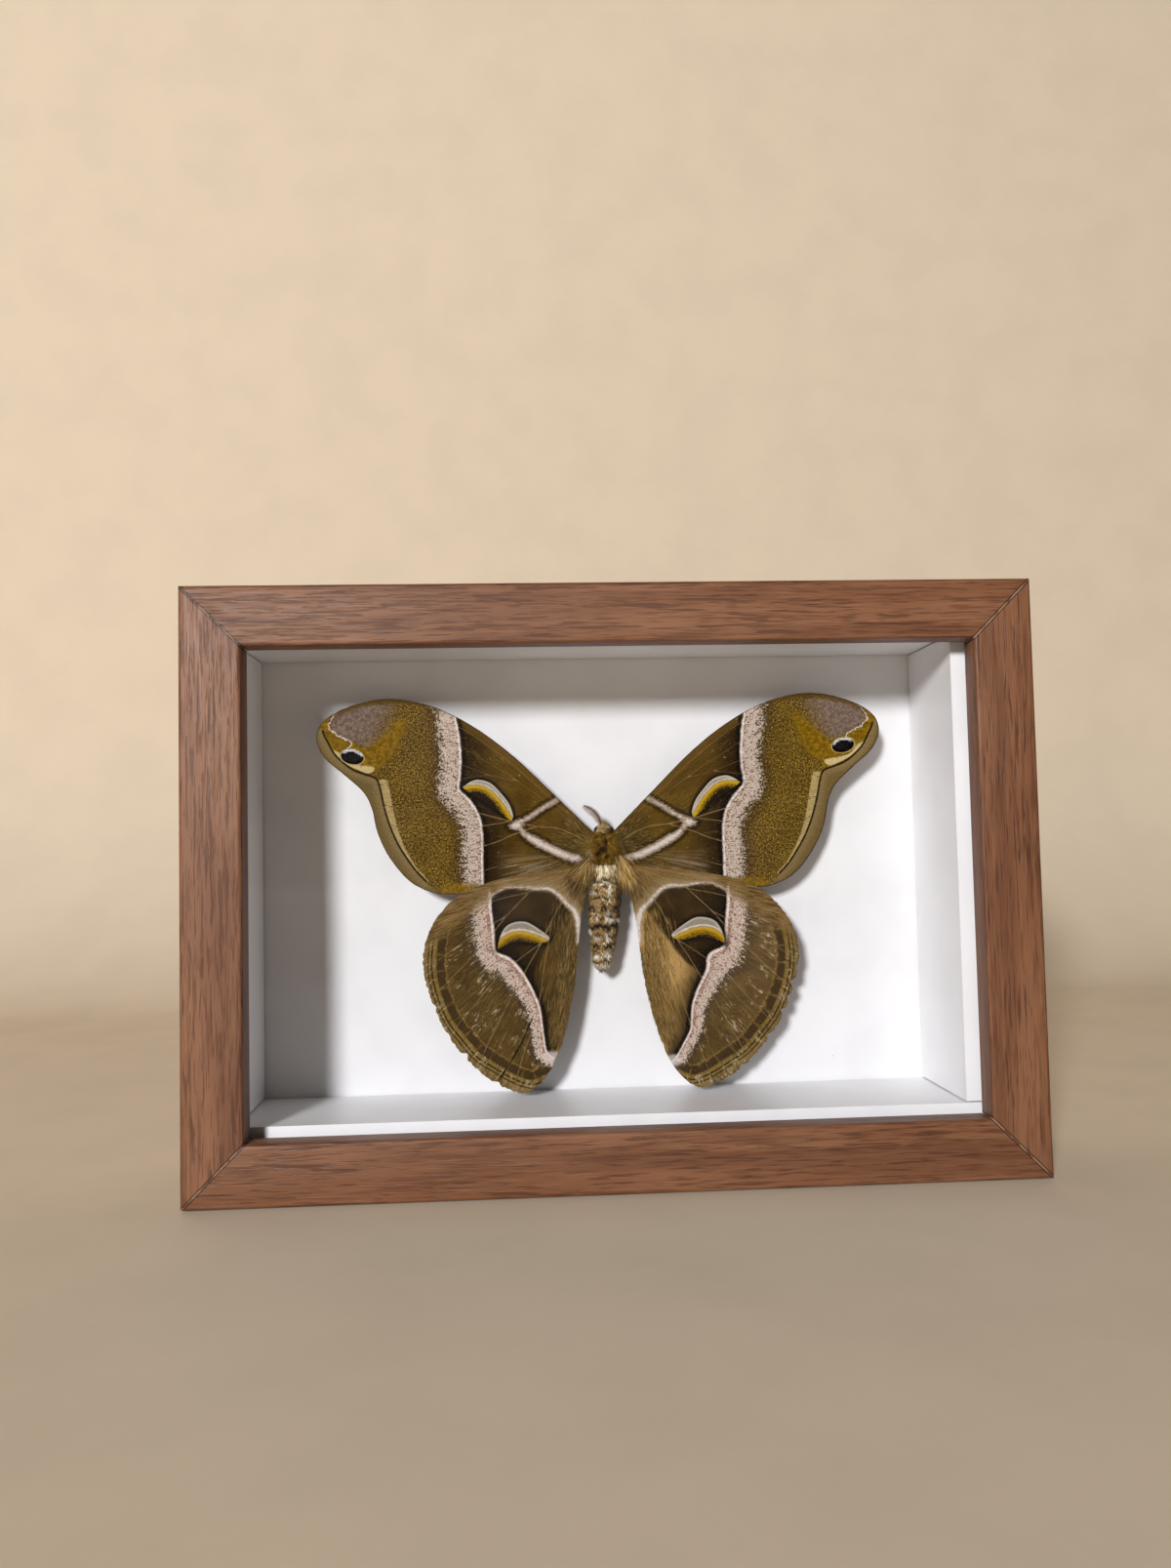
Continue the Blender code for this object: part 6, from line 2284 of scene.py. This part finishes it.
@dataclass
class Legs:
    """The six folded legs under the moth, jointed, with short hair."""

    routes: dict[str, Line] = field(default_factory=lambda: {
        "fore": ((1.2, 3.8, 0.6), (4.4, 5.6, 2.6), (7.8, 6.4, 1.6), (10.4, 6.9, 0.8)),
        "mid": ((1.5, 3.8, -1.4), (5.0, 5.7, -1.2), (8.2, 6.5, -2.8), (10.4, 6.9, -4.2)),
        "hind": ((1.3, 3.6, -3.4), (4.3, 5.5, -4.6), (6.8, 6.3, -8.4), (8.0, 6.9, -12.2)),
    })
    radii: tuple[float, ...] = (0.5, 0.46, 0.34, 0.2)
    hairs: int = 900
    feet: int = 5

    def build(self) -> None:
        """Make the legs and the hair on each."""
        horn, fuzz = BodySkin("leg_horn").make(), CoatOfHair("leg_hair").make()
        for side, label in SIDES.items():
            for number, (pair, route) in enumerate(self.routes.items()):
                joints = np.array(route)
                line = np.concatenate([
                    a + (b - a) * np.linspace(0.0, 1.0, 24, endpoint=i == 2)[:, None]
                    for i, (a, b) in enumerate(zip(joints, joints[1:]))])
                share = np.linspace(0.0, 3.0, len(line))
                radius = np.interp(share, range(4), self.radii)
                radius = radius * (1.0 - 0.2 * np.abs(np.sin(math.pi * share)) ** 0.3 * (share < 2.0))
                radius = radius * (1.0 + 0.16 * np.sin(share * 2 * math.pi * self.feet) * (share > 2.0))
                leg = tube_from(f"leg_{pair}_{label}_jointed", side, line, radius, 20)
                keep_field(leg, "coat", np.tile(linear((112, 88, 56)), (len(leg.data.vertices), 1)))
                settle(leg, Look.LEGS, horn, f"leg_{pair}_{label}")
                self.hair(f"leg_{pair}_{label}_hair", side, line, radius, fuzz, number)

    def hair(self, name: str, side: int, line: Rows, radius: Rows, finish: Stuff, seed: int) -> None:
        """The short hair of one leg, combed towards the foot.

        Args:
            name: the piece's name.
            side: -1 for the left half of the moth, 1 for the right.
            line: rows of points on the leg's axis.
            radius: how thick it is at each.
            finish: the hair.
            seed: the start of the chance in it.
        """
        chance = np.random.default_rng(83 + seed)
        pick = chance.integers(3, len(line) - 1, self.hairs)
        run = np.gradient(line, axis=0)[pick]
        run = unit(run)
        across = np.cross(run, [0.0, 1.0, 0.0])
        across = unit(across)
        up = np.cross(run, across)
        turn = chance.uniform(0.0, 2 * math.pi, (self.hairs, 1))
        outward = np.cos(turn) * across + np.sin(turn) * up
        root = line[pick] + outward * radius[pick][:, None] * 0.9
        length = chance.uniform(0.35, 0.75, (self.hairs, 1)) * (1.0 - 0.45 * (pick / len(line)))[:, None]
        tip = root + (run + outward * 0.4) * length
        tones = varied((138.0, 112.0, 72.0), 0.2, chance, self.hairs)
        patches = columns(turn[:, 0] / 8.0 + 0.1, pick / len(line) * 0.9 + 0.05)
        gathered = Strands(name)
        gathered.add(*(moth_places(side, rows) for rows in (root, (root + tip) / 2 + outward * 0.03, tip)),
                     np.tile([0.1 * MM, 0.06 * MM], (self.hairs, 1)), linear(tones),
                     patches, outward * np.array([side, 1.0, 1.0]))
        settle(gathered.build(), Look.LEGS, finish)


@dataclass
class MountPad:
    """The block of white foam between the thorax and the card."""

    waist: float = 0.12

    def build(self) -> None:
        """Cut the block to size, nip its middle in and round its edges."""
        low, high = node_box("mounting_pad")
        pad = Bench.block("foam_block", low, high)
        for share in (0.2, 0.35, 0.5, 0.65, 0.8):
            place = Vector((0.0, (low[1] + (high[1] - low[1]) * share) * MM, 0.0))
            Bench.slice(pad, place, Vector((0.0, 1.0, 0.0)))
        Bench.pick(pad, "EDGE", lambda c, d: abs(d.normalized().y) > 0.9)
        Bench.round_edges(pad, 0.35, 4)
        middle = [(a + b) / 2 * MM for a, b in zip(low, high)]
        for vertex in pad.data.vertices:
            share = abs(vertex.co.y - middle[1]) / ((high[1] - low[1]) / 2 * MM)
            nip = 1.0 - self.waist * (1.0 - share ** 2)
            vertex.co.x = middle[0] + (vertex.co.x - middle[0]) * nip
            vertex.co.z = middle[2] + (vertex.co.z - middle[2]) * nip
        Bench.smooth(pad, 40.0)
        settle(pad, Look.PAD, FoamPad().make(), "mounting_pad")


@dataclass
class Moth:
    """The whole moth: wings, body, coat, antennae and legs, on its pad."""

    antennae: dict[int, Line] = field(default_factory=lambda: {
        -1: ((0.3, 0.6, 4.4), (0.55, 0.2, 5.6), (1.1, -0.3, 6.9), (2.1, -0.8, 8.0), (3.2, -1.1, 8.7),
             (4.3, -1.2, 9.1)),
        1: ((0.9, 1.8, 4.0), (1.9, 3.0, 3.9), (4.0, 3.5, 3.2), (7.0, 3.6, 4.0), (9.6, 3.5, 5.6)),
    })

    def build(self) -> None:
        """Build the moth from its wings to its pad."""
        fore_finish, hind_finish = ForeScales().make(), HindScales().make()
        down = CoatOfHair("wing_down", 0.5, 0.3).make()
        for side, label in SIDES.items():
            fore, hind = ForeWing(side), HindWing(side)
            settle(fore.build(), Look.WING, fore_finish, f"forewing_{label}")
            settle(hind.build(), Look.WING, hind_finish, f"hindwing_{label}")
            Down(side, hind, fore).build(down)
        shape, markings = BodyShape(), BodyMarkings()
        Body(shape, markings).build()
        Coat(shape, markings).build()
        LongHair().build()
        horn = FeelerHorn().make()
        for side, route in self.antennae.items():
            Antenna(side, route).build(horn)
        Legs().build()
        MountPad().build()


@dataclass
class Studio:
    """The room: a pale warm sweep behind the case, one window-like key light and a soft fill."""

    wall: Rgb = (226, 209, 186)
    key_power: float = 50.8
    key_way: tuple[float, float, float] = (0.40, 1.0, -0.30)
    key_distance: float = 2.2
    key_size: float = 0.32
    fill: float = 0.04

    def sweep(self) -> None:
        """A floor that curves up into a wall behind the case."""
        bpy.ops.object.select_all(action="DESELECT")
        bpy.ops.mesh.primitive_plane_add(size=2.4, location=(0.0, -0.8, -0.0005))
        sweep = bpy.context.active_object
        sweep.name = "room_sweep"
        Bench.fix(sweep)
        Bench.pick(sweep, "EDGE", lambda c, d: c.y > 0.3)
        bpy.ops.object.mode_set(mode="EDIT")
        bpy.ops.mesh.extrude_region_move(TRANSFORM_OT_translate={"value": (0.0, 0.0, 1.6)})
        bpy.ops.object.mode_set(mode="OBJECT")
        Bench.pick(sweep, "EDGE", lambda c, d: c.y > 0.3 and c.z < 0.1)
        Bench.round_edges(sweep, 150.0, 16)
        Bench.smooth(sweep, 60.0)
        paint = Paint("painted_wall")
        roll = paint.noise(paint.place(0.03, 0.03, 0.03), 1.0, 4.0)
        tone = paint.over(self.wall, (tuple(c * 0.98 for c in self.wall), roll, 0.35, 0.7))
        sweep.data.materials.append(paint.finish(tone, 0.9, (roll, 0.1, 0.1)))

    def light(self) -> None:
        """The key light from the upper left front, and the soft light of the room."""
        key = bpy.data.lights.new("window_key", "AREA")
        key.shape, key.size, key.energy = "DISK", self.key_size, self.key_power
        key.color = (1.0, 0.995, 0.985)
        lamp = bpy.data.objects.new("window_key", key)
        way = Vector(self.key_way).normalized()
        lamp.location = Vector((0.0, 0.0, CASE_HEIGHT / 2 * MM)) - way * self.key_distance
        lamp.rotation_euler = way.to_track_quat("-Z", "Y").to_euler()
        bpy.context.scene.collection.objects.link(lamp)
        room = bpy.data.worlds.new("room_light")
        room.use_nodes = True
        shade = room.node_tree.nodes["Background"]
        shade.inputs["Color"].default_value = linear((255, 236, 212))
        shade.inputs["Strength"].default_value = self.fill
        bpy.context.scene.world = room

    def camera(self) -> None:
        """The camera, where the photographer stood."""
        lens = bpy.data.cameras.new("photographer")
        lens.lens, lens.sensor_width, lens.clip_start = 26.99, 36.0, 0.01
        eye = bpy.data.objects.new("photographer", lens)
        eye.location = (-0.01924, -0.2526, 0.06785)
        eye.rotation_euler = tuple(math.radians(a) for a in (92.962, 1.2295, -3.169))
        bpy.context.scene.collection.objects.link(eye)
        bpy.context.scene.camera = eye

    def build(self) -> None:
        """Set the room up."""
        self.sweep()
        self.light()
        self.camera()
        bpy.context.scene.view_settings.view_transform = "Standard"


def main() -> None:
    """Build the parts of the case and the moth in order, then light them."""
    logging.basicConfig(level=logging.INFO, format="%(name)s: %(message)s")
    Moulding().build()
    Glazing().build()
    BackFittings().build()
    Moth().build()
    Studio().build()


if __name__ == "__main__":
    main()
